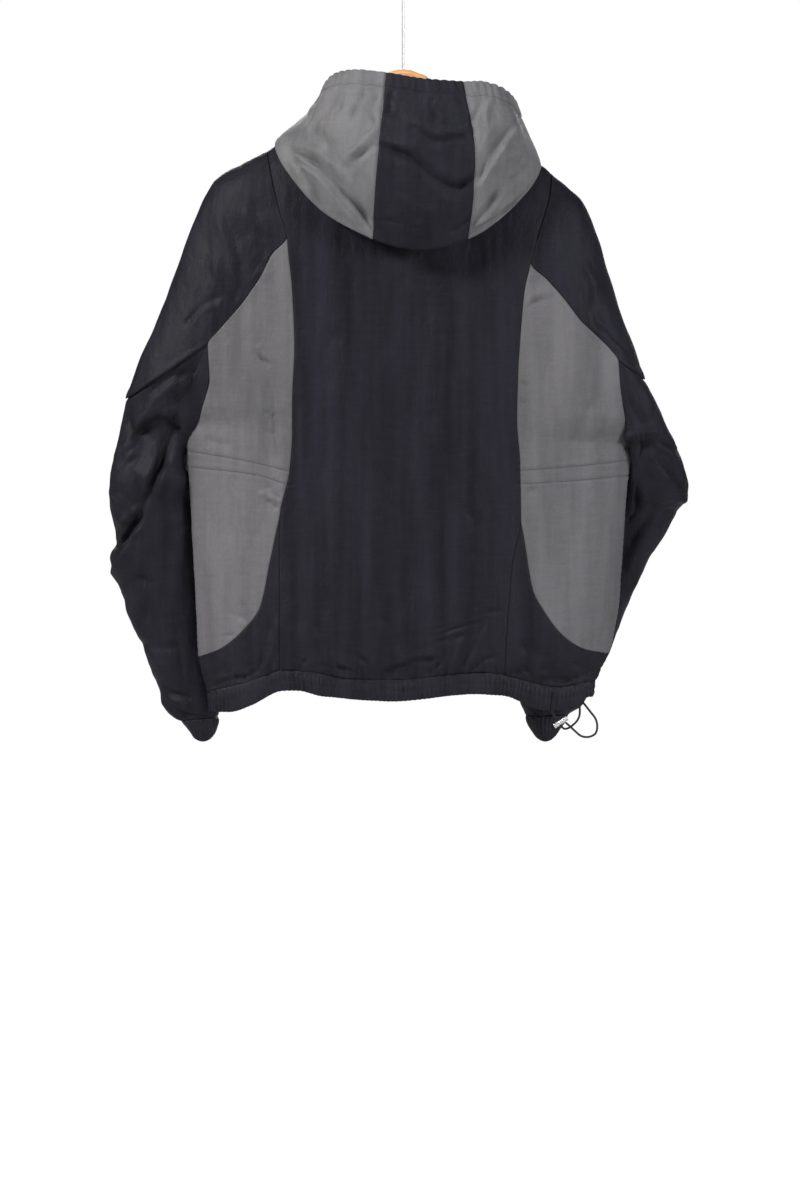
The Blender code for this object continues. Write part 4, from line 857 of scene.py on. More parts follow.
# folds of the sleeves, the hood and the back's lower part, each a ridge (a valley below zero) with two slopes:
# reach on the left and on the right of the line's way as the side is faced, height, line
facets = {
    "back": [
        # left sleeve, under its cap and at the underarm
        (9, 30, 5.2, [(-340, 618), (-320, 590), (-296, 567), (-270, 559), (-252, 563)]),
        (12, 8, -2.6, [(-326, 580), (-298, 561), (-264, 551)]),
        (6, 10, -2.6, [(-300, 575), (-291, 586), (-283, 600)]),
        (14, 4, 3.6, [(-346, 624), (-331, 613), (-316, 606), (-298, 609), (-280, 622)]),
        (4, 60, -7.0, [(-352, 641), (-335, 626), (-318, 616), (-299, 620), (-282, 638)]),
        (10, 12, -2.2, [(-364, 600), (-353, 618), (-345, 640)]),
        (5, 7, 1.8, [(-306, 600), (-296, 606), (-288, 618)]),
        # the long folds to the elbow
        (7, 22, 4.2, [(-318, 626), (-320, 659), (-331, 698), (-345, 735)]),
        (7, 7, -4.0, [(-303, 640), (-312, 672), (-326, 706), (-344, 742), (-368, 776)]),
        (38, 9, 6.0, [(-291, 641), (-303, 672), (-318, 707), (-335, 742), (-357, 781), (-381, 822)]),
        (5, 9, 3.2, [(-337, 729), (-356, 738), (-371, 751)]),
        (6, 8, -4.0, [(-340, 742), (-361, 766), (-378, 782)]),
        (5, 7, 2.6, [(-344, 757), (-363, 778), (-382, 796)]),
        (7, 10, 3.0, [(-344, 638), (-359, 650), (-375, 665)]),
        (6, 9, 2.2, [(-345, 652), (-360, 665), (-377, 682)]),
        (8, 6, -2.2, [(-353, 682), (-341, 701), (-334, 717)]),
        (5, 8, 1.6, [(-378, 708), (-362, 716), (-350, 731)]),
        # forearm
        (14, 12, -2.6, [(-335, 804), (-338, 841), (-334, 880)]),
        (20, 14, 2.2, [(-321, 796), (-319, 850), (-299, 926)]),
        (16, 22, 2.6, [(-363, 848), (-339, 900), (-311, 952)]),
        (18, 12, -2.6, [(-300, 852), (-292, 930), (-276, 988)]),
        (10, 8, -2.0, [(-346, 905), (-322, 914), (-294, 912)]),
        (7, 9, -1.8, [(-366, 826), (-344, 822), (-326, 830)]),
        (7, 10, -3.0, [(-320, 958), (-296, 974), (-268, 978)]),
        (5, 8, -2.6, [(-302, 990), (-282, 1000), (-260, 1001)]),
        (6, 6, 2.2, [(-324, 974), (-306, 994), (-288, 1008)]),
        # right sleeve, under its cap and at the underarm
        (12, 4, 4.2, [(284, 641), (304, 636), (334, 633)]),
        (4, 44, -5.2, [(286, 652), (308, 647), (334, 644), (354, 650)]),
        (10, 8, -2.6, [(291, 586), (299, 607), (311, 628)]),
        (16, 14, 2.2, [(304, 556), (318, 590), (332, 622)]),
        (7, 9, -2.2, [(312, 560), (326, 570), (340, 588)]),
        # elbow
        (10, 6, -3.2, [(326, 650), (343, 676), (358, 697), (374, 713)]),
        (6, 20, 3.2, [(318, 656), (334, 682), (350, 704), (368, 718)]),
        (8, 8, 2.4, [(321, 644), (344, 654), (364, 673)]),
        (6, 14, 2.6, [(374, 722), (350, 717), (328, 725)]),
        (8, 8, -2.2, [(372, 736), (352, 734), (336, 742)]),
        # forearm
        (12, 26, 3.2, [(356, 740), (321, 788), (294, 843)]),
        (16, 16, -3.0, [(300, 698), (292, 760), (284, 822)]),
        (8, 16, -2.2, [(324, 738), (302, 772), (290, 802)]),
        (14, 14, -2.6, [(270, 858), (254, 920), (232, 980)]),
        (12, 10, 2.2, [(297, 838), (272, 892), (246, 952)]),
        (7, 9, -2.6, [(194, 988), (222, 978), (246, 968)]),
        (5, 7, -2.2, [(184, 1004), (206, 1000), (228, 994)]),
    ],
    "front": [
        (9, 28, 4.6, [(-345, 628), (-318, 604), (-288, 590), (-258, 592)]),
        (5, 22, -5.0, [(-350, 650), (-322, 630), (-296, 632), (-282, 646)]),
        (8, 20, 4.0, [(-300, 650), (-318, 690), (-336, 730), (-360, 766)]),
        (8, 9, -4.0, [(-292, 668), (-310, 712), (-334, 752), (-366, 790)]),
        (30, 9, 4.8, [(-286, 690), (-304, 734), (-330, 780), (-362, 828)]),
        (6, 9, 2.8, [(-344, 700), (-360, 712), (-376, 730)]),
        (7, 8, -2.6, [(-352, 800), (-334, 812), (-312, 816)]),
        (16, 18, 2.4, [(-350, 850), (-324, 904), (-296, 958)]),
        (12, 14, -2.4, [(-310, 820), (-304, 880), (-284, 950)]),
        (7, 9, -2.6, [(-318, 968), (-292, 984), (-264, 986)]),
        (12, 5, 4.0, [(280, 648), (306, 640), (336, 640)]),
        (5, 18, -4.6, [(284, 660), (310, 653), (340, 652)]),
        (10, 8, -3.0, [(304, 672), (326, 700), (350, 726)]),
        (7, 18, 3.2, [(296, 684), (318, 712), (340, 742)]),
        (7, 12, 2.4, [(372, 712), (350, 722), (330, 740)]),
        (14, 22, 3.0, [(344, 756), (312, 800), (280, 856)]),
        (14, 14, -2.6, [(296, 740), (280, 800), (256, 866)]),
        (12, 12, -2.4, [(262, 880), (240, 930), (214, 984)]),
        (7, 8, -2.2, [(186, 996), (212, 990), (236, 982)]),
    ],
    "low": [
        # above the hem of the back
        (12, 4, -2.6, [(32, 896), (64, 884), (102, 876)]),
        (4, 10, 1.4, [(36, 892), (66, 880), (104, 871)]),
        (5, 7, -1.8, [(42, 900), (62, 896), (81, 891)]),
        (5, 10, -2.4, [(-25, 942), (16, 927), (42, 923)]),
        (9, 4, 1.5, [(-24, 936), (14, 921), (40, 917)]),
        (5, 8, -2.0, [(-60, 916), (-47, 930), (-36, 944)]),
        (6, 5, -2.0, [(88, 942), (104, 928), (122, 922)]),
        (14, 8, -2.2, [(74, 941), (90, 908), (103, 878)]),
        (8, 10, 1.8, [(61, 940), (70, 918), (76, 898)]),
        (10, 8, -1.5, [(-119, 878), (-102, 895), (-97, 914)]),
        (6, 12, -2.4, [(-174, 868), (-178, 900), (-184, 932), (-192, 952)]),
        (9, 6, 1.6, [(-163, 868), (-166, 905), (-182, 946)]),
        (5, 8, -1.4, [(-252, 962), (-214, 951), (-194, 949)]),
        (7, 5, 1.0, [(-250, 954), (-222, 946), (-204, 944)]),
        (5, 4, -1.8, [(-200, 930), (-196, 950)]),
        (6, 5, -2.0, [(142, 944), (157, 936), (166, 946)]),
        (6, 4, 1.8, [(166, 950), (178, 943), (190, 947)]),
        (9, 5, -1.8, [(184, 948), (207, 956), (234, 948), (254, 936)]),
        (6, 6, 1.3, [(190, 955), (212, 961), (240, 953)]),
        (6, 5, -1.8, [(32, 944), (42, 936), (51, 926)]),
        (5, 6, -1.6, [(-92, 926), (-84, 934), (-75, 945)]),
        (5, 6, -1.6, [(-134, 938), (-129, 931), (-124, 924)]),
        (4, 6, -1.6, [(-110, 932), (-88, 938), (-62, 940)]),
        (5, 6, -1.6, [(106, 866), (115, 864), (125, 863)]),
        (12, 8, -1.6, [(155, 898), (163, 916), (162, 934)]),
        (12, 14, -1.4, [(-28, 868), (-8, 892), (-1, 916)]),
        (5, 6, -1.6, [(-22, 944), (-18, 934), (-8, 926)]),
        (5, 6, -1.5, [(2, 946), (8, 936)]),
        (5, 6, -1.6, [(218, 930), (232, 938), (244, 934)]),
    ],
    "hood": [
        # left
        (9, 4, -4.4, [(-138, 271), (-110, 291), (-80, 321), (-60, 341), (-39, 374)]),
        (4, 16, 2.6, [(-146, 282), (-112, 303), (-84, 333), (-60, 362)]),
        (12, 7, -3.0, [(-146, 262), (-131, 295), (-107, 340)]),
        (12, 9, 2.8, [(-111, 217), (-119, 246), (-124, 270)]),
        (6, 12, -2.2, [(-100, 222), (-103, 246), (-96, 270)]),
        (5, 7, -2.0, [(-49, 190), (-58, 212), (-67, 232)]),
        (5, 6, -1.8, [(-32, 195), (-39, 217), (-33, 238)]),
        (5, 7, 1.6, [(-78, 192), (-82, 212), (-92, 228)]),
        (9, 6, 3.0, [(-33, 240), (-53, 261), (-74, 279)]),
        (10, 6, -2.0, [(-36, 256), (-56, 276), (-78, 296)]),
        (7, 5, -3.0, [(-60, 330), (-49, 354), (-41, 376)]),
        (8, 8, 1.8, [(-96, 286), (-76, 300), (-56, 322)]),
        (6, 8, 1.6, [(-120, 196), (-116, 210), (-122, 224)]),
        # centre
        (5, 14, -4.6, [(-29, 264), (7, 279), (37, 301), (65, 318), (92, 303)]),
        (14, 6, 2.2, [(-28, 256), (10, 270), (42, 291), (68, 306)]),
        (12, 6, 2.4, [(5, 234), (37, 249), (76, 246), (91, 240)]),
        (5, 10, -2.2, [(12, 243), (40, 257), (80, 254)]),
        (8, 6, -1.8, [(-28, 218), (3, 232), (18, 244)]),
        (6, 5, -1.6, [(-12, 194), (-16, 206), (-14, 218)]),
        (5, 6, -1.6, [(40, 200), (36, 212), (44, 226)]),
        (6, 5, -1.8, [(-28, 358), (0, 366), (30, 372)]),
        (5, 5, -1.8, [(62, 372), (76, 366), (88, 354)]),
        (10, 14, 1.6, [(-10, 330), (20, 346), (60, 348)]),
        # right
        (8, 14, -3.6, [(144, 231), (122, 262), (105, 289), (95, 310)]),
        (12, 5, 3.4, [(150, 236), (129, 267), (112, 294), (98, 316)]),
        (9, 6, -3.4, [(122, 320), (103, 351), (87, 374)]),
        (10, 12, 2.2, [(136, 318), (118, 344), (100, 366)]),
        (4, 7, -4.2, [(84, 380), (119, 360), (149, 335), (168, 308)]),
        (8, 4, 2.6, [(88, 371), (118, 352), (146, 327)]),
        (7, 6, -1.8, [(98, 212), (88, 230), (91, 254)]),
        (6, 8, 1.8, [(112, 204), (104, 222), (106, 240)]),
        (9, 10, 2.0, [(155, 262), (139, 279), (116, 294)]),
        (7, 9, -1.8, [(160, 284), (146, 300), (128, 312)]),
    ],
}
crinkle = {
    # size across, along and through in millimetres, height in millimetres
    "broad": (34, 120, 60, 1.9),
    "small": (15, 32, 22, 0.7),
    "streak": (8, 90, 30, 0.55),
    "sleeve": (50, 24, 36, 1.6),
    "facet": (26, 40, 32, 1.9),
    "depth": 1.6,       # all the creases are this much deeper than their rows say
    "facets": 1.55,     # and all the other folds by this
}


def lineDistance(x, drop, line):      # how far from a line, on which side of it, and how far along
    nearest, side, place = np.full(len(x), 1e9), np.zeros(len(x)), np.zeros(len(x))
    spans = np.linalg.norm(np.diff(line, axis=0), axis=1)
    done = 0
    for p, q, span in zip(line, line[1:], spans):
        way = (q - p) / span
        t = np.clip((x - p[0]) * way[0] + (drop - p[1]) * way[1], 0, span)
        offX, offD = x - p[0] - t * way[0], drop - p[1] - t * way[1]
        far = np.hypot(offX, offD)
        closer = far < nearest
        side = np.where(closer, np.sign(way[0] * offD - way[1] * offX), side)
        place = np.where(closer, (done + t) / spans.sum(), place)
        nearest = np.minimum(far, nearest)
        done += span
    return nearest, side, place


def creaseHeight(points, table):
    drop = -points[:, 2]
    x = points[:, 0] + 1.7 * np.sin(drop / 17 + points[:, 0] / 43)
    drop = drop + 1.7 * np.sin(x / 19 + 1.3)
    total = np.zeros(len(points))
    for width, depth, bulge, line in table:
        line = np.array(line, float)
        low, high = line.min(0) - 5 * width, line.max(0) + 5 * width
        near = (x > low[0]) & (x < high[0]) & (drop > low[1]) & (drop < high[1])
        if not near.any():
            continue
        a, d = x[near], drop[near]
        nearest, side, place = lineDistance(a, d, line)
        wide = width * (1 + 0.3 * np.sin(6 * place + line[0, 0]))
        u = nearest * side / wide
        height = -depth * (0.6 * np.exp(-u * u) + 0.4 * np.exp(-2.0 * np.abs(u)))
        lean = bulge or (0.4 if line[0, 1] % 2 else -0.4)
        height += 0.75 * abs(depth * lean) * np.exp(-((u - np.sign(lean) * 1.7) / 1.1) ** 2)
        height -= 0.2 * depth * abs(lean) * np.exp(-((u + np.sign(lean) * 1.8) / 1.6) ** 2)
        uneven = 0.85 + 0.3 * np.sin(11 * place + line[0, 1])
        total[near] += height * uneven * smooth(0, 0.3, place) * smooth(0, 0.3, 1 - place)
    return total * crinkle["depth"]


def facetHeight(points, table):
    drop = -points[:, 2] + 1.5 * np.sin(points[:, 0] / 17 + 1.3)
    x = points[:, 0] + 1.5 * np.sin(drop / 15 + points[:, 0] / 43)
    total, shade = np.zeros(len(points)), np.zeros(len(points))
    for leftReach, rightReach, depth, line in table:
        line = np.array(line, float)
        reach = max(leftReach, rightReach)
        low, high = line.min(0) - reach, line.max(0) + reach
        near = (x > low[0]) & (x < high[0]) & (drop > low[1]) & (drop < high[1])
        if not near.any():
            continue
        far, side, place = lineDistance(x[near], drop[near], line)
        far = np.sqrt(far * far + 0.5) - 0.7
        wide = np.where(side > 0, rightReach, leftReach) * (1 + 0.2 * np.sin(7 * place + line[0, 0]))
        slope = np.clip(1 - far / wide, 0, 1)
        uneven = 0.85 + 0.3 * np.sin(9 * place + line[0, 1])
        uneven *= smooth(-0.12, 0.22, place) * smooth(-0.12, 0.22, 1 - place)
        total[near] += depth * crinkle["facets"] * uneven * slope ** 1.3
        # painted shade: the foot of a ridge's steep side and the bottom of a valley are darkened in the
        # colour, where shade would fall
        foot = np.abs(far - wide * 0.8) if depth > 0 else far
        steep = (wide < 1.3 * min(leftReach, rightReach)) if depth > 0 else True
        dark = 0.16 * abs(depth) * np.exp(-(foot / (1.5 if depth > 0 else 1.9)) ** 2) * uneven * steep
        shade[near] = np.maximum(shade[near], dark)
    return total, np.minimum(shade, 0.75)


def noiseHeight(points, name, seed, sharp=False):      # sharp noise has crisp ridges
    across, lengthwise, through, height = crinkle[name]
    scaled = points / (across, through, lengthwise) + seed
    if sharp:
        scaled = scaled + 0.35 * np.sin(scaled[:, ::-1] * 2.3 + seed)
    found = np.array([noise.noise(Vector(p)) for p in scaled.tolist()])
    return height * (0.25 - np.abs(found) if sharp else found)


def quadsOf(rows, columns, closed):
    index = np.arange(rows * columns).reshape(rows, columns)
    if closed:
        index = np.concatenate((index, index[:, :1]), axis=1)
    return np.stack((index[:-1, :-1], index[:-1, 1:], index[1:, 1:], index[1:, :-1]), axis=-1).reshape(-1, 4)


def normalsOf(points, quads):
    a, b, c, d = (points[quads[:, k]] for k in range(4))
    normal = np.cross(c - a, d - b)
    total = np.zeros_like(points)
    for k in range(4):
        np.add.at(total, quads[:, k], normal)
    return total


def unit(vectors):
    return vectors / np.maximum(np.linalg.norm(vectors, axis=-1, keepdims=True), 1e-9)


def lowest(height, closed):      # the least height among each point and its neighbours
    tall = np.pad(height, ((1, 1), (0, 0)), mode="edge")
    height = np.minimum(np.minimum(tall[:-2], tall[1:-1]), tall[2:])
    wide = np.pad(height, ((0, 0), (1, 1)), mode="wrap" if closed else "edge")
    return np.minimum(np.minimum(wide[:, :-2], wide[:, 1:-1]), wide[:, 2:])


def orient(piece):      # turn its faces and normals outwards
    grid = piece["grid"]
    quads = quadsOf(*grid.shape[:2], piece["closed"])
    normals = normalsOf(grid.reshape(-1, 3), quads)
    if callable(piece["facing"]):
        lean = (normals * (grid - piece["facing"](grid)).reshape(-1, 3)).sum()
    else:
        weight = piece.get("outer", np.ones(grid.shape[:2])).reshape(-1, 1) ** 4
        lean = (normals * weight).sum(0) @ np.array(piece["facing"], float)
    piece["flipped"] = bool(lean < 0)
    piece["quads"] = quads[:, ::-1] if piece["flipped"] else quads
    piece["normals"] = -normals if piece["flipped"] else normals


def shareNormals():      # one normal where pieces meet, so that seams stay closed
    everything = np.concatenate([piece["grid"].reshape(-1, 3) for piece in cloth.values()])
    where = np.unique(np.round(everything * 20).astype(np.int64), axis=0, return_inverse=True)[1].reshape(-1)
    pooled = np.zeros((where.max() + 1, 3))
    np.add.at(pooled, where, np.concatenate([piece["normals"] for piece in cloth.values()]))
    shared, start = unit(pooled)[where], 0
    for piece in cloth.values():
        end = start + len(piece["normals"])
        piece["normals"] = shared[start:end]
        start = end


def isArmRow(row):      # whether a crease is a sleeve's
    across, drops = [abs(p[0]) for p in row[3]], [p[1] for p in row[3]]
    upper = min(across) > 255 and max(drops) > 640
    return upper or min(across) > 160 and min(drops) > 780 and max(across) > 283


def addHoodFolds(piece, points, toBack, height):
    outer = piece["outer"].reshape(-1)
    fold, shade = facetHeight(points, facets["hood"])
    height += fold * outer * toBack
    piece["shade"] = shade * outer * toBack
    height += (0.8 * noiseHeight(points, "broad", 3.1) + 0.6 * noiseHeight(points, "small", 8.2)
               + noiseHeight(points, "streak", 1.4) + 0.3 * noiseHeight(points, "facet", 6.3, True)) * outer


def addFolds(name, piece, points, toBack, height):      # on the body and the sleeves
    arm, drop = piece["part"] == "arm", -points[:, 2]
    piece["shade"] = 0
    for side, share in (("back", toBack), ("front", 1 - toBack)):
        height += creaseHeight(points, [row for row in creases[side] if arm or not isArmRow(row)]) * share
        if not arm:
            height += creaseHeight(points, filter(isArmRow, creases[side])) * share * smooth(700, 670, drop)
        if arm or side == "back" and name.startswith("back_"):
            fold, shade = facetHeight(points, facets[side if arm else "low"])
            height += fold * share
            piece["shade"] = piece["shade"] + shade * share
    onArm = smooth(560, 640, drop) if arm else 0      # sleeves are crumpled, panels are streaked
    height += noiseHeight(points, "broad", 3.1) * (1 - 0.5 * onArm) + noiseHeight(points, "small", 8.2)
    height += noiseHeight(points, "streak", 1.4) * (1 - onArm)
    height += noiseHeight(points, "facet", 2.7, True) * (0.15 + 0.35 * onArm)
    if arm:
        height += 0.6 * noiseHeight(points, "sleeve", 5.5, True) * onArm
        edge = cut["edge"][left if points[0, 0] < 0 else right]      # the sleeve stays up beside the body
        beside = np.abs(points[:, 0]) - np.abs(along(edge, drop))
        height[:] = np.where((beside < 9) & (drop < 740), np.maximum(height, -0.4), height)


seams = {
    "turn": 0.9,                 # how far from an edge the cloth turns in
    "pucker": (0.22, 0.3),       # steady and rippled height of the cloth beside a seam
    "puckerReach": (1.6, 6.5),
    "bunch": 2.1,                # height and pitch of the soft gathers above the hem
    "bunchPitch": 9.5,
    "waistGroove": 0.4,          # depth of a row of stitching at the waist, and half its width
    "waistHalf": 1.4,
}


def addSeams(name, piece, points, height):
    nearest = np.full(piece["grid"].shape[:2], 99.0)
    for edge, roll in piece["rolls"].items():
        far = lengthFrom(piece["grid"], edge)
        height -= (roll * np.exp(-(far / seams["turn"]) ** 2)).reshape(-1)
        nearest = np.minimum(nearest, far)
    nearest = piece["near"] = nearest.reshape(-1)
    x, z = points[:, 0], points[:, 2]
    if piece["part"] != "tape":
        ripple = np.sin((z + 0.8 * x) / 1.35 + 1.5 * np.sin(z / 23))
        steady, rippled = seams["pucker"]
        start, end = seams["puckerReach"]
        beside = np.exp(-(nearest / end) ** 2) * (1 - np.exp(-(nearest / start) ** 2))
        height += (steady + rippled * ripple) * beside
    if name.startswith(("back_", "front_")):
        above = lengthFrom(piece["grid"], "bottom").reshape(-1)
        reach = 15 + 9 * np.sin(x / 17) + 6 * np.sin(x / 7.3 + 1)
        bunch = gathers(x + 40, seams["bunchPitch"], 0.9) * np.exp(-above / reach)
        bunch *= 1 - np.exp(-(above / 2) ** 2)
        height += seams["bunch"] * bunch * (z < -850)
        for line in waistLines(points):
            groove = np.exp(-(line / seams["waistHalf"]) ** 2)
            height -= seams["waistGroove"] * groove - 0.2 * np.exp(-((np.abs(line) - 4.5) / 2.5) ** 2)
            wave = 0.4 * np.sin(x / 1.5 + np.sin(x / 11))
            height += wave * np.exp(-(line / 5) ** 2) * (1 - np.exp(-(line / 1.6) ** 2))


def closeShell(piece, outside, height):      # leaves the gap at the seams and adds the inside
    moved, gap = outside.copy(), cut["seamGap"] / 2
    if not piece["closed"]:
        moved[:, 0] += unit(outside[:, 1] - outside[:, 0]) * gap
        moved[:, -1] += unit(outside[:, -2] - outside[:, -1]) * gap
    moved[0] += unit(outside[1] - outside[0]) * gap
    moved[-1] += unit(outside[-2] - outside[-1]) * gap
    sunk = lowest(height, piece["closed"]) - height - cut["wall"]
    piece["outside"], piece["inside"] = moved, moved + piece["normals"] * sunk[..., None]


def shapeCloth():
    for piece in cloth.values():
        orient(piece)
    shareNormals()
    for name, piece in cloth.items():
        shape = piece["grid"].shape
        points, normals = piece["grid"].reshape(-1, 3), piece["normals"]
        height = piece["height"].reshape(-1).copy()
        toBack = smooth(-0.25, 0.25, -normals[:, 1])
        if piece["part"] == "hood":
            addHoodFolds(piece, points, toBack, height)
        elif piece["part"] != "tape":
            addFolds(name, piece, points, toBack, height)
        addSeams(name, piece, points, height)
        shift = np.broadcast_to(piece["shift"], shape).reshape(-1, 3)
        piece["normals"] = normals.reshape(shape)
        outside = points + normals * height[:, None] + shift
        closeShell(piece, outside.reshape(shape), height.reshape(shape[:2]))


waist = {
    # rows of stitching across the grey panels, (across, drop)
    "left": [[(-284, 655), (-199, 669), (-146, 682)],
             [(-284, 676), (-192, 686), (-146, 700)]],
    "right": [[(148, 681), (204, 677), (265, 671), (298, 667)],
              [(148, 698), (207, 695), (269, 690), (298, 687)]],
}


def waistLines(points):
    x, drop = points[:, 0], -points[:, 2]
    found = []
    for lines in waist.values():
        for line in lines:
            near = (x > line[0][0] - 1) & (x < line[-1][0] + 1) & (points[:, 1] < 6)
            found.append(np.where(near, drop - along(line, x), 99))
    return found


shapeCloth()
print("cloth shaped")


# materials

def newGroup(name, inputs, outputs):
    tree = bpy.data.node_groups.new(name, "ShaderNodeTree")
    for label, kind, value in inputs:
        socket = tree.interface.new_socket(label, in_out="INPUT", socket_type=kind)
        if value is not None:
            socket.default_value = value
    for label, kind in outputs:
        tree.interface.new_socket(label, in_out="OUTPUT", socket_type=kind)
    return tree, tree.nodes.new("NodeGroupInput"), tree.nodes.new("NodeGroupOutput")


def setInputs(tree, node, links):      # links: input name or number -> value or socket
    for key, value in links.items():
        if isinstance(value, bpy.types.NodeSocket):
            tree.links.new(value, node.inputs[key])
        else:
            node.inputs[key].default_value = value
    return node


def addNode(tree, kind, links=None, **settings):
    node = tree.nodes.new("ShaderNode" + kind)
    for key, value in settings.items():
        setattr(node, key, value)
    return setInputs(tree, node, links or {})


def sumOf(tree, operation, a, b=0.0, c=None, kind="Math"):
    links = {0: a, 1: b} if c is None else {0: a, 1: b, 2: c}
    return addNode(tree, kind, links, operation=operation).outputs[0]


def noiseOf(tree, place, scale, detail, **more):
    return addNode(tree, "TexNoise", {"Vector": place, "Scale": scale, "Detail": detail, **more}).outputs


def ranged(tree, value, low, high, toLow=0.0, toHigh=1.0, **settings):
    links = {"Value": value, "From Min": low, "From Max": high, "To Min": toLow, "To Max": toHigh}
    return addNode(tree, "MapRange", links, **settings).outputs["Result"]


def mixColour(tree, factor, a, b):
    return addNode(tree, "Mix", {0: factor, 6: a, 7: b}, data_type="RGBA").outputs[2]


def bumped(tree, height, strength, distance):
    links = {"Height": height, "Strength": strength, "Distance": distance}
    return addNode(tree, "Bump", links).outputs["Normal"]


def makeWeaveGroup():
    # plain weave with soft crumples, long creases and uneven threads both ways
    tree, given, result = newGroup("clothWeave", [
        ("Place", "NodeSocketVector", None), ("Threads", "NodeSocketFloat", 1400.0),
        ("Crumple Scale", "NodeSocketFloat", 60.0), ("Crumple", "NodeSocketFloat", 1.0),
        ("Weave", "NodeSocketFloat", 0.012), ("Creases", "NodeSocketFloat", 0.16)],
        [("Height", "NodeSocketFloat"), ("Streak", "NodeSocketFloat"), ("Fleck", "NodeSocketFloat"),
         ("Crease", "NodeSocketFloat")])
    place = given.outputs["Place"]

    def stretched(ways, scale, detail, **more):
        drawn = sumOf(tree, "MULTIPLY", place, ways, kind="VectorMath")
        return noiseOf(tree, drawn, scale, detail, **more)["Fac"]

    axes = addNode(tree, "SeparateXYZ", {0: place}).outputs
    turns = sumOf(tree, "MULTIPLY", given.outputs["Threads"], 2 * math.pi)
    sideways = sumOf(tree, "ADD", axes["X"], axes["Y"])
    warp = sumOf(tree, "SINE", sumOf(tree, "MULTIPLY", sideways, turns))
    weft = sumOf(tree, "SINE", sumOf(tree, "MULTIPLY", axes["Z"], turns))
    plain = sumOf(tree, "MULTIPLY", warp, weft)
    crumple = stretched((1.0, 1.0, 0.5), given.outputs["Crumple Scale"], 4.0, Roughness=0.55, Distortion=0.35)
    ridged = sumOf(tree, "ABSOLUTE", sumOf(tree, "SUBTRACT", crumple, 0.5))
    folds = sumOf(tree, "MULTIPLY", ridged, given.outputs["Crumple"])
    soft = stretched((1.0, 1.0, 0.6), 34.0, 2.0, Distortion=0.6)
    folds = sumOf(tree, "MULTIPLY_ADD", soft, sumOf(tree, "MULTIPLY", given.outputs["Crumple"], 1.1), folds)
    # creases run between cells whose borders wander
    wander = noiseOf(tree, place, 13.0, 3.0)["Color"]
    pushed = sumOf(tree, "MULTIPLY_ADD", wander, (0.035, 0.035, 0.06), place, kind="VectorMath")
    drawn = sumOf(tree, "MULTIPLY", pushed, (1.0, 1.0, 0.42), kind="VectorMath")
    cells = addNode(tree, "TexVoronoi", {"Vector": drawn, "Scale": 17.0}, feature="DISTANCE_TO_EDGE")
    line = ranged(tree, cells.outputs["Distance"], 0.0, 0.1, 1.0, 0.0, interpolation_type="SMOOTHSTEP")
    mask = stretched((1.0, 1.0, 0.6), 8.0, 2.0)
    crease = sumOf(tree, "MULTIPLY", line, ranged(tree, mask, 0.46, 0.62))
    groove = sumOf(tree, "MULTIPLY", crease, given.outputs["Creases"])
    creased = sumOf(tree, "SUBTRACT", folds, groove)
    height = sumOf(tree, "MULTIPLY_ADD", plain, given.outputs["Weave"], creased)
    upright = stretched((1.0, 1.0, 0.07), 46.0, 4.0)
    level = stretched((0.16, 0.16, 1.0), 240.0, 2.0)
    streak = sumOf(tree, "MULTIPLY_ADD", level, 0.2, sumOf(tree, "MULTIPLY", upright, 0.8))
    fleck = stretched((1.0, 1.0, 1.0), 900.0, 2.0)
    setInputs(tree, result, {"Height": height, "Streak": streak, "Fleck": fleck, "Crease": crease})
    return tree


def makeGrainGroup():
    # fine lines along one axis, for thread, brushed metal and wood
    tree, given, result = newGroup("longGrain", [
        ("Place", "NodeSocketVector", None), ("Stretch", "NodeSocketVector", (1.0, 1.0, 1.0)),
        ("Scale", "NodeSocketFloat", 300.0)], [("Grain", "NodeSocketFloat"), ("Fine", "NodeSocketFloat")])
    place, stretch, scale = (given.outputs[label] for label in ("Place", "Stretch", "Scale"))
    drawn = sumOf(tree, "MULTIPLY", place, stretch, kind="VectorMath")
    grain = noiseOf(tree, drawn, scale, 4.0, Roughness=0.6, Distortion=0.6)["Fac"]
    closer = noiseOf(tree, drawn, sumOf(tree, "MULTIPLY", scale, 5.0), 2.0)["Fac"]
    setInputs(tree, result, {"Grain": grain, "Fine": closer})
    return tree


groups = {"weave": makeWeaveGroup(), "grain": makeGrainGroup()}
materials = {}


def startMaterial(name):
    material = materials[name] = bpy.data.materials.new(name)
    material.use_nodes = True
    tree = material.node_tree
    return tree, tree.nodes["Principled BSDF"], tree.nodes.new("ShaderNodeTexCoord").outputs["Object"]


def grainOf(tree, place, scale, stretch=(1.0, 1.0, 1.0)):
    links = {"Place": place, "Scale": scale, "Stretch": stretch}
    node = addNode(tree, "Group", links, node_tree=groups["grain"])
    return node.outputs["Grain"], node.outputs["Fine"]


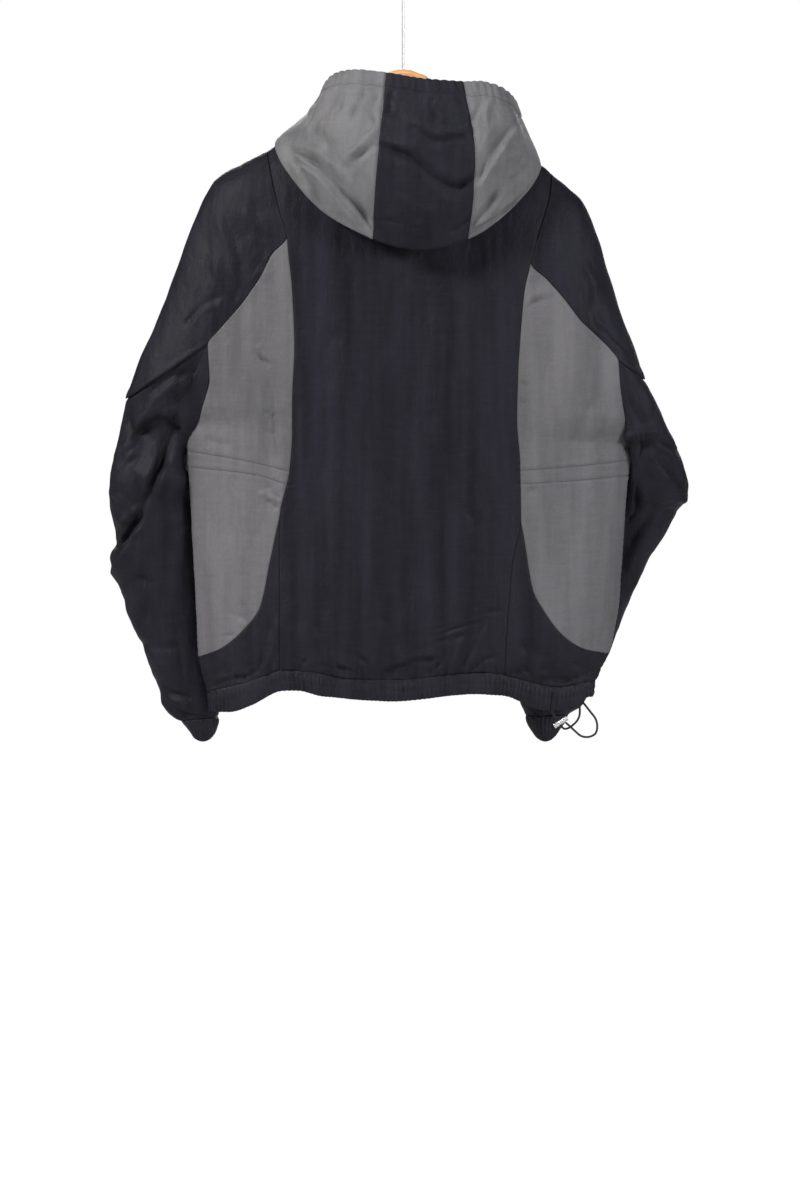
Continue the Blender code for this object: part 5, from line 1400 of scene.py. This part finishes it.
fabrics = {
    # dark colour, light colour, painted shade colour for grooves and folds, roughness from and to,
    # threads per metre, crumple scale, bump distance in metres, gloss
    "blackNylon": ((0.0072, 0.0068, 0.0124), (0.0174, 0.0165, 0.0264), (0.004, 0.004, 0.005),
                   0.52, 0.68, 1300, 105, 0.0034, 0.20),
    "greyNylon": ((0.116, 0.113, 0.121), (0.162, 0.158, 0.168), (0.06, 0.058, 0.062),
                  0.50, 0.66, 1300, 95, 0.0034, 0.34),
    "hoodNylon": ((0.134, 0.132, 0.138), (0.184, 0.182, 0.189), (0.07, 0.068, 0.072),
                  0.50, 0.66, 1300, 95, 0.0038, 0.34),
    "bandNylon": ((0.0074, 0.0070, 0.0126), (0.0176, 0.0168, 0.0266), (0.004, 0.004, 0.005),
                  0.46, 0.62, 1300, 140, 0.0030, 0.24),
    "zipTape": ((0.008, 0.008, 0.009), (0.015, 0.015, 0.017), (0.005, 0.005, 0.006),
                0.7, 0.85, 900, 200, 0.0006, 0.3),
}


def makeFabric(name):
    dark, light, deep, smoothest, roughest, threads, scale, bump, gloss = fabrics[name]
    tree, shader, place = startMaterial(name)
    weave = addNode(tree, "Group", {"Place": place, "Threads": threads, "Crumple Scale": scale},
                    node_tree=groups["weave"]).outputs
    tint = mixColour(tree, ranged(tree, weave["Streak"], 0.36, 0.64), (*dark, 1), (*light, 1))
    # painted shade: the per-point groove attribute and the weave's crease lines darken the colour towards the
    # painted shade colour
    grooveShade = addNode(tree, "Attribute", attribute_name="grooveShade")
    depth = sumOf(tree, "MULTIPLY", grooveShade.outputs["Fac"], 0.8)
    depth = sumOf(tree, "MAXIMUM", depth, sumOf(tree, "MULTIPLY", weave["Crease"], 0.08))
    tint = mixColour(tree, depth, tint, (*deep, 1))
    fleck = ranged(tree, weave["Fleck"], 0.35, 0.65, 0.9, 1.1)
    setInputs(tree, shader, {
        "Base Color": sumOf(tree, "MULTIPLY", tint, fleck, kind="VectorMath"),
        "Roughness": ranged(tree, weave["Streak"], 0.3, 0.7, smoothest, roughest),
        "Normal": bumped(tree, weave["Height"], 0.5, bump),
        "Specular IOR Level": gloss, "Sheen Weight": 0.02, "Sheen Roughness": 0.45})


threadColours = {
    # dark, light
    "blackThread": ((0.012, 0.012, 0.014), (0.030, 0.030, 0.034)),
    "greyThread": ((0.090, 0.088, 0.092), (0.135, 0.133, 0.138)),
    "darkThread": ((0.022, 0.021, 0.024), (0.048, 0.046, 0.050)),
}


def makeThread(name):
    dark, light = threadColours[name]
    tree, shader, place = startMaterial(name)
    grain, fine = grainOf(tree, place, 2500.0)
    setInputs(tree, shader, {"Base Color": mixColour(tree, grain, (*dark, 1), (*light, 1)), "Roughness": 0.6,
                             "Normal": bumped(tree, fine, 0.5, 0.0002)})


def makeBraid():
    tree, shader, place = startMaterial("braidedCord")
    axes = addNode(tree, "SeparateXYZ", {0: place}).outputs
    waves = []
    for way in ("ADD", "SUBTRACT"):
        slanted = sumOf(tree, way, axes["X"], axes["Z"])
        waves.append(sumOf(tree, "SINE", sumOf(tree, "MULTIPLY", slanted, 5200.0)))
    shown = ranged(tree, sumOf(tree, "MULTIPLY", *waves), -1.0, 1.0)
    setInputs(tree, shader, {
        "Base Color": mixColour(tree, shown, (0.005, 0.005, 0.006, 1), (0.014, 0.014, 0.017, 1)),
        "Normal": bumped(tree, shown, 0.6, 0.0003), "Roughness": 0.65})


metals = {
    # dark, light, roughness from and to, direction of the brushing, metallic
    "brushedWire": ((0.66, 0.66, 0.67), (0.88, 0.88, 0.88), 0.26, 0.42, (1.0, 1.0, 0.05), 0.5),
    "lockMetal": ((0.70, 0.69, 0.68), (0.86, 0.85, 0.84), 0.22, 0.34, (0.4, 0.4, 0.4), 0.7),
    "zipMetal": ((0.035, 0.035, 0.038), (0.09, 0.09, 0.095), 0.28, 0.46, (1.0, 1.0, 0.2), 1.0),
}


def makeMetal(name):
    dark, light, smoothest, roughest, stretch, metallic = metals[name]
    tree, shader, place = startMaterial(name)
    grain, fine = grainOf(tree, place, 900.0, stretch)
    setInputs(tree, shader, {
        "Base Color": mixColour(tree, grain, (*dark, 1), (*light, 1)), "Metallic": metallic,
        "Roughness": ranged(tree, fine, 0.3, 0.7, smoothest, roughest),
        "Normal": bumped(tree, fine, 0.12, 0.0001)})


wood = {"dark": (0.66, 0.30, 0.10, 1), "light": (0.90, 0.48, 0.19, 1), "pores": (0.42, 0.18, 0.06, 1),
        "grain": 240.0, "roughness": 0.42, "coat": 0.35}


def makeWood():
    tree, shader, place = startMaterial("hangerWood")
    grain, fine = grainOf(tree, place, wood["grain"], (0.08, 1.0, 1.0))
    tint = mixColour(tree, ranged(tree, grain, 0.3, 0.7), wood["dark"], wood["light"])
    tint = mixColour(tree, ranged(tree, fine, 0.52, 0.75, 0.0, 0.5), tint, wood["pores"])
    setInputs(tree, shader, {
        "Base Color": tint, "Normal": bumped(tree, fine, 0.2, 0.0003), "Roughness": wood["roughness"],
        "Coat Weight": wood["coat"], "Coat Roughness": 0.25})


def makeMaterials():
    for make, names in ((makeFabric, fabrics), (makeMetal, metals), (makeThread, threadColours)):
        for name in names:
            make(name)
    makeBraid()
    makeWood()


makeMaterials()
print("materials:", sorted(materials))


# pieces of cloth as closed shells

finish = {"shell_black": "blackNylon", "shell_grey": "greyNylon", "hood_grey": "hoodNylon",
          "zip_tape": "zipTape"}


def ride(thing, node=None):      # everything but the pull tab is on the jacket's own body
    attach(thing, "jacket")
    if node:
        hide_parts(node)
    return thing


def meshOf(name, points, faces, material, attribute=None):
    mesh = bpy.data.meshes.new(name)
    faces = faces.tolist() if isinstance(faces, np.ndarray) else faces
    mesh.from_pydata((points * metre).tolist(), [], faces)
    if attribute is not None:
        mesh.attributes.new("grooveShade", "FLOAT", "POINT").data.foreach_set("value", attribute.astype(np.float32))
    mesh.shade_smooth()
    mesh.materials.append(materials[material])
    thing = bpy.data.objects.new(name, mesh)
    bpy.context.scene.collection.objects.link(thing)
    return thing


def innerFaces(rows, columns, closed):      # every second line, with all the points along the rims
    rowPick = list(range(0, rows - 1, 2)) + [rows - 1]
    wide = columns if closed else columns - 1
    columnPick = list(range(0, wide, 2)) + [wide]
    faces = []
    for top, bottom in zip(rowPick, rowPick[1:]):
        for start, end in zip(columnPick, columnPick[1:]):
            path = [(top, c) for c in (range(start, end) if top == 0 else [start])]
            path += [(r, end) for r in (range(top, bottom) if end == wide and not closed else [top])]
            path += [(bottom, c) for c in (range(end, start, -1) if bottom == rows - 1 else [end])]
            path += [(r, start) for r in (range(bottom, top, -1) if start == 0 and not closed else [bottom])]
            faces.append([r * columns + c % columns for r, c in path])
    return faces


def shellOf(piece):      # points and faces of a closed shell, and the points that its inside uses
    rows, columns = piece["grid"].shape[:2]
    quads, count = piece["quads"], rows * columns
    inner = innerFaces(rows, columns, piece["closed"])
    used = np.unique(np.concatenate([np.array(face) for face in inner]))
    place = np.zeros(count, int)
    place[used] = np.arange(len(used)) + count
    inner = [place[face if piece["flipped"] else face[::-1]].tolist() for face in inner]
    sides = [np.stack((quads[:, k], quads[:, (k + 1) % 4]), axis=1) for k in range(4)]
    edges = np.concatenate(sides).astype(np.int64)
    rim = edges[~np.isin(edges[:, 0] * count + edges[:, 1], edges[:, 1] * count + edges[:, 0])]
    walls = np.stack((rim[:, 1], rim[:, 0], place[rim[:, 0]], place[rim[:, 1]]), axis=1)
    points = np.concatenate((piece["outside"].reshape(-1, 3), piece["inside"].reshape(-1, 3)[used]))
    return points, quads.tolist() + walls.tolist() + inner, used


def isBand(name):
    return name.startswith(("hem_", "cuff_"))


def buildCloth():
    for name, piece in cloth.items():
        points, faces, used = shellOf(piece)
        # painted shade: darker colour at the seams' turned-in edges, along the folds' valleys and along the
        # waist's stitched grooves, passed to the material as a per-point attribute
        grooveShade = np.maximum(0.7 * np.exp(-(piece["near"] / 1.2) ** 2), piece.get("shade", 0))
        if name.startswith("back_side"):
            for line in waistLines(piece["outside"].reshape(-1, 3)):
                grooveShade = np.maximum(grooveShade, 0.25 * np.exp(-(line / seams["waistHalf"]) ** 2))
        material = "bandNylon" if isBand(name) else finish[piece["slot"]]
        thing = meshOf("cloth_" + name, points, faces, material, np.concatenate((grooveShade, grooveShade[used])))
        piece["thing"] = ride(thing, name)


buildCloth()
print("cloth built")


# sewing

stitches = {
    "pitch": 3.1,
    "length": 2.5,
    "thread": 0.42,      # width of the thread
    "lineThread": 0.6,   # and of the dark lines on the grey pieces
    "rim": 3,            # the grid's line 2.2 mm from a seam
    "capRow": -5,        # and the row above a cap's lower edge
    # rings of a stitch: share of its length, height off the cloth, share of the thread's width
    "rings": [(0.0, -0.25, 0.6), (0.16, 0.08, 1.0), (0.5, 0.22, 1.05), (0.84, 0.08, 1.0), (1.0, -0.25, 0.6)],
    "sides": 5,
}


def stitchAlong(path, normals, thread):      # the points of each stitch along a line
    reach = reachAlong(path)
    starts = (np.arange(int(reach[-1] // stitches["pitch"])) + 0.2) * stitches["pitch"]
    first, last = sampled(path, reach, starts), sampled(path, reach, starts + stitches["length"])
    normal = unit(sampled(normals, reach, starts + stitches["length"] / 2))
    across = unit(np.cross(normal, unit(last - first)))
    found = []
    for place, rise, size in stitches["rings"]:
        centre = mix(first, last, place) + normal * rise
        for side in range(stitches["sides"]):
            turn = 2 * math.pi * side / stitches["sides"] + 0.3
            found.append(centre + (across * math.cos(turn) + normal * math.sin(turn)) * (thread / 2) * size)
    return np.stack(found, axis=1).reshape(-1, 3)


def stitchMesh(name, lines, material, thread):
    points = np.concatenate([stitchAlong(path, normals, thread) for path, normals in lines])
    rings, sides = len(stitches["rings"]), stitches["sides"]
    first = np.arange(0, len(points), rings * sides)[:, None, None]
    ride(meshOf(name, points, (quadsOf(rings, sides, True)[None] + first).reshape(-1, 4), material))


def gridLine(name, row=None, column=None, first=0):
    pick = (slice(first, None), column) if row is None else (row, slice(first, None))
    return cloth[name]["outside"][pick], cloth[name]["normals"][pick]


def onCloth(name, line, spacing=3.0):      # a line given as (across, drop), laid on a piece
    points, normals = (cloth[name][key].reshape(-1, 3) for key in ("outside", "normals"))
    found, ways = [], []
    for x in np.arange(line[0][0] + 2, line[-1][0] - 2, spacing):
        z = -float(along(line, x))
        near = np.argmin((points[:, 0] - x) ** 2 + (points[:, 2] - z) ** 2)
        offX, offZ = x - points[near, 0], z - points[near, 2]
        if math.hypot(offX, offZ) <= 4:
            n = normals[near]
            found.append((x, points[near, 1] - (n[0] * offX + n[2] * offZ) / min(n[1], -0.4), z))
            ways.append(n)
    return np.array(found), np.array(ways)


def makeStitches():
    rim, other = stitches["rim"], -1 - stitches["rim"]
    black = [gridLine("back_centre", column=rim), gridLine("back_centre", column=other)]
    grey, dark = [], []
    for word in words.values():
        cap = "sleeve_cap_" + word
        black += [gridLine("back_lower_" + word, column=rim), gridLine(cap, column=rim),
                  gridLine(cap, column=other), gridLine("front_" + word, column=other),
                  gridLine(cap, row=stitches["capRow"]), gridLine("cuff_" + word, row=rim),
                  gridLine("hem_front_" + word, row=rim)]
        inner = other if word == "left" else rim
        grey.append(gridLine("hood_" + word, column=inner, first=hood["insideRows"][2]))
        dark += [onCloth("back_side_" + word, line) for line in waist[word]]
    for name in hood["pieces"]:      # the line under the hood's casing
        piece = cloth[name]
        row = np.argmin(np.abs(lengthFrom(piece["grid"], "bottom") - hood["casing"]), axis=0)
        pick = row, np.arange(len(row))
        (black if name == "hood_centre" else dark).append((piece["outside"][pick], piece["normals"][pick]))
    black += [gridLine("hem_back", row=rim)]
    stitchMesh("stitches_black", black, "blackThread", stitches["thread"])
    stitchMesh("stitches_grey", grey, "greyThread", stitches["thread"])
    stitchMesh("stitches_dark", dark, "darkThread", stitches["lineThread"])


makeStitches()
print("sewing done")


# zip teeth, slider and pull

def makeTeeth():
    reach, depth, height = zipper["toothSize"]
    pitch, outline = zipper["toothPitch"], zipper["toothOutline"]
    points = []
    for arm in (left, right):
        edge = cloth["zip_tape_" + words[arm]]["outside"][:, -1]
        far = reachAlong(edge)
        places = np.arange(2 + (0 if arm == left else pitch / 2), far[-1] - 2, pitch)
        for x, y, z in sampled(edge, far, places):
            if abs(-z - zipper["sliderDrop"]) < zipper["sliderClear"]:
                continue
            for level, size in zipper["toothLevels"]:
                points += [(-arm * (out * reach * (size + 1) / 2 - 0.3), y - 0.5 + level * depth,
                            z + up * height * size) for out, up in outline]
    wide = len(outline)
    one = quadsOf(3, wide, True).tolist() + [list(range(wide)), list(range(2 * wide, 3 * wide))[::-1]]
    faces = [[base + k for k in face] for base in range(0, len(points), 3 * wide) for face in one]
    ride(meshOf("zip_teeth", np.array(points), faces, "zipMetal"))


makeTeeth()


# cord, lock and tether at the hem's corner

cord = {
    "thick": 2.8,
    # across, drop, forward
    "routes": {
        "hem_cord_loop": [(231.2, 979.6, -5.6), (243, 994.5, -10), (250, 1004, -14), (252, 1013, -18),
                          (250, 1022, -21), (244, 1026, -23), (237, 1027, -24.5), (230, 1025, -26),
                          (224, 1020, -26.8), (217, 1013.5, -26.6), (210.7, 1007.9, -24.8)],
        "hem_cord_short": [(229.4, 986.4, -10.4), (229.6, 995, -12.5), (228.6, 1001, -15),
                           (225.6, 1006.5, -18), (221, 1011, -20.4), (215, 1015.2, -22),
                           (209, 1016.2, -22.8), (204.2, 1011.7, -23.6)],
    },
    "lengths": {"hem_cord_loop": 0.1, "hem_cord_short": 0.05},
    "lockEnds": [(196, 1013, -24), (213, 1002, -24)],
    # share of the lock's length, radius: its two ends, and a rib from where each rib starts
    "lockStart": [(0, 0), (0, 2.7), (0.012, 3.1), (0.03, 3.45), (0.05, 3.5), (0.075, 3.5), (0.09, 3.35),
                  (0.10, 2.95), (0.12, 2.9)],
    "lockRib": [(0, 2.9), (0.015, 3.0), (0.03, 3.25), (0.05, 3.3), (0.08, 3.3), (0.10, 3.25),
                (0.12, 2.95), (0.14, 2.9)],
    "lockRibs": (0.20, 0.44, 0.68),
    "lockEnd": [(0.90, 2.9), (0.91, 3.3), (0.925, 3.5), (0.95, 3.5), (0.97, 3.45), (0.988, 3.1),
                (1, 2.7), (1, 0)],
    "lockSides": 40,
    # tether tape: middle across, drop, forward, and the way its width lies across and in drop
    "tether": [(196, 968, -30.7, 2.1, 0), (195, 979, -30.4, 2.1, 0), (194, 988, -29.6, 2.1, 0),
               (195, 997, -27.2, 2, -0.6), (199.2, 1006.7, -24, 1.8, -1.1)],
    "tetherThick": 1.1,
    "tetherSection": [(-1, 0), (-0.97, 0.5), (-0.8, 0.55), (0, 0.5), (0.8, 0.55), (0.97, 0.5), (1, 0),
                      (0.97, -0.5), (0.8, -0.5), (0, -0.5), (-0.8, -0.5), (-0.97, -0.5)],
}


def roundWire(name, route, thick, count, material, node):
    curve = bpy.data.curves.new(name, "CURVE")
    curve.dimensions = "3D"
    curve.bevel_depth, curve.bevel_resolution, curve.use_fill_caps = thick / 2 * metre, 5, True
    spline = curve.splines.new("POLY")
    spline.points.add(count - 1)
    points = through([(x, forward, -drop) for x, drop, forward in route], np.linspace(0, 1, count)) * metre
    for point, place in zip(spline.points, points):
        point.co = (*place, 1)
    curve.materials.append(materials[material])
    thing = bpy.data.objects.new(name, curve)
    bpy.context.scene.collection.objects.link(thing)
    return ride(thing, node), points


def makeLock():      # turned round the line between its ends
    start, end = (np.array((x, forward, -drop), float) for x, drop, forward in cord["lockEnds"])
    axis = end - start
    across = unit(np.cross(axis, (0, 1, 0)))
    up = np.cross(unit(axis), across)
    turns = np.arange(cord["lockSides"]) * 2 * math.pi / cord["lockSides"]
    ring = across * np.cos(turns)[:, None] + up * np.sin(turns)[:, None]
    ribs = [(round(place + share, 3), radius) for place in cord["lockRibs"]
            for share, radius in cord["lockRib"]]
    profile = cord["lockStart"] + ribs + cord["lockEnd"]
    points = np.concatenate([start + axis * share + ring * max(radius, 0.02) for share, radius in profile])
    faces = quadsOf(len(profile), cord["lockSides"], True)
    return ride(meshOf("cord_lock_turned", points, faces, "lockMetal"), "cord_lock")


def makeTether():
    section, table = cord["tetherSection"], cord["tether"]
    rows = bend(range(len(table)), table, np.linspace(0, len(table) - 1, 40))
    middle, wide = stacked(rows[:, 0], rows[:, 2], rows[:, 1]), stacked(rows[:, 3], 0, rows[:, 4])
    out = unit(np.cross(unit(np.gradient(middle, axis=0)), wide))
    out = np.where(out[:, 1:2] > 0, -out, out)
    lines = [middle + wide * side + out * (off * cord["tetherThick"] - 0.6) for side, off in section]
    points, count = np.stack(lines, axis=1).reshape(-1, 3), len(section)
    faces = quadsOf(len(rows), count, True).tolist()
    faces += [list(range(count)), list(range(len(points) - count, len(points)))[::-1]]
    thing = meshOf("cord_tether_tape", points, faces, "bandNylon", np.zeros(len(points)))
    return ride(thing, "cord_tether")


def makeCord():
    pieces = [makeLock(), makeTether()]
    for name, route in cord["routes"].items():
        thing, points = roundWire(name + "_strand", route, cord["thick"], 60, "braidedCord", name)


makeCord()


# hanger

hanger = {
    "wire": 3.2,
    "curl": 17,      # inside radius of the hook
    # the wire below the curl, (across, drop, forward), down to 0.3 mm above the wood
    "shank": [(3.2, 45, 0), (0.4, 56, 0), (0, 66, 0), (0, 110, 0), (0, 161.7, 0)],
}


def makeHook():
    reach = hanger["curl"] + hanger["wire"] / 2
    turns = [math.radians(angle) for angle in range(205, -56, -20)]
    route = [(reach * math.cos(turn), hanger["curl"] - reach * math.sin(turn), 0) for turn in turns]
    roundWire("hook_wire", route + hanger["shank"], hanger["wire"], 150, "brushedWire", "hanger_hook")


makeHook()
for node, material in (("hanger_wood", "hangerWood"), ("zip_slider", "zipMetal"), ("zip_pull", "zipMetal")):
    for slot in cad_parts[node].material_slots:
        slot.material = materials[material]
print("zip, cord and hanger done")
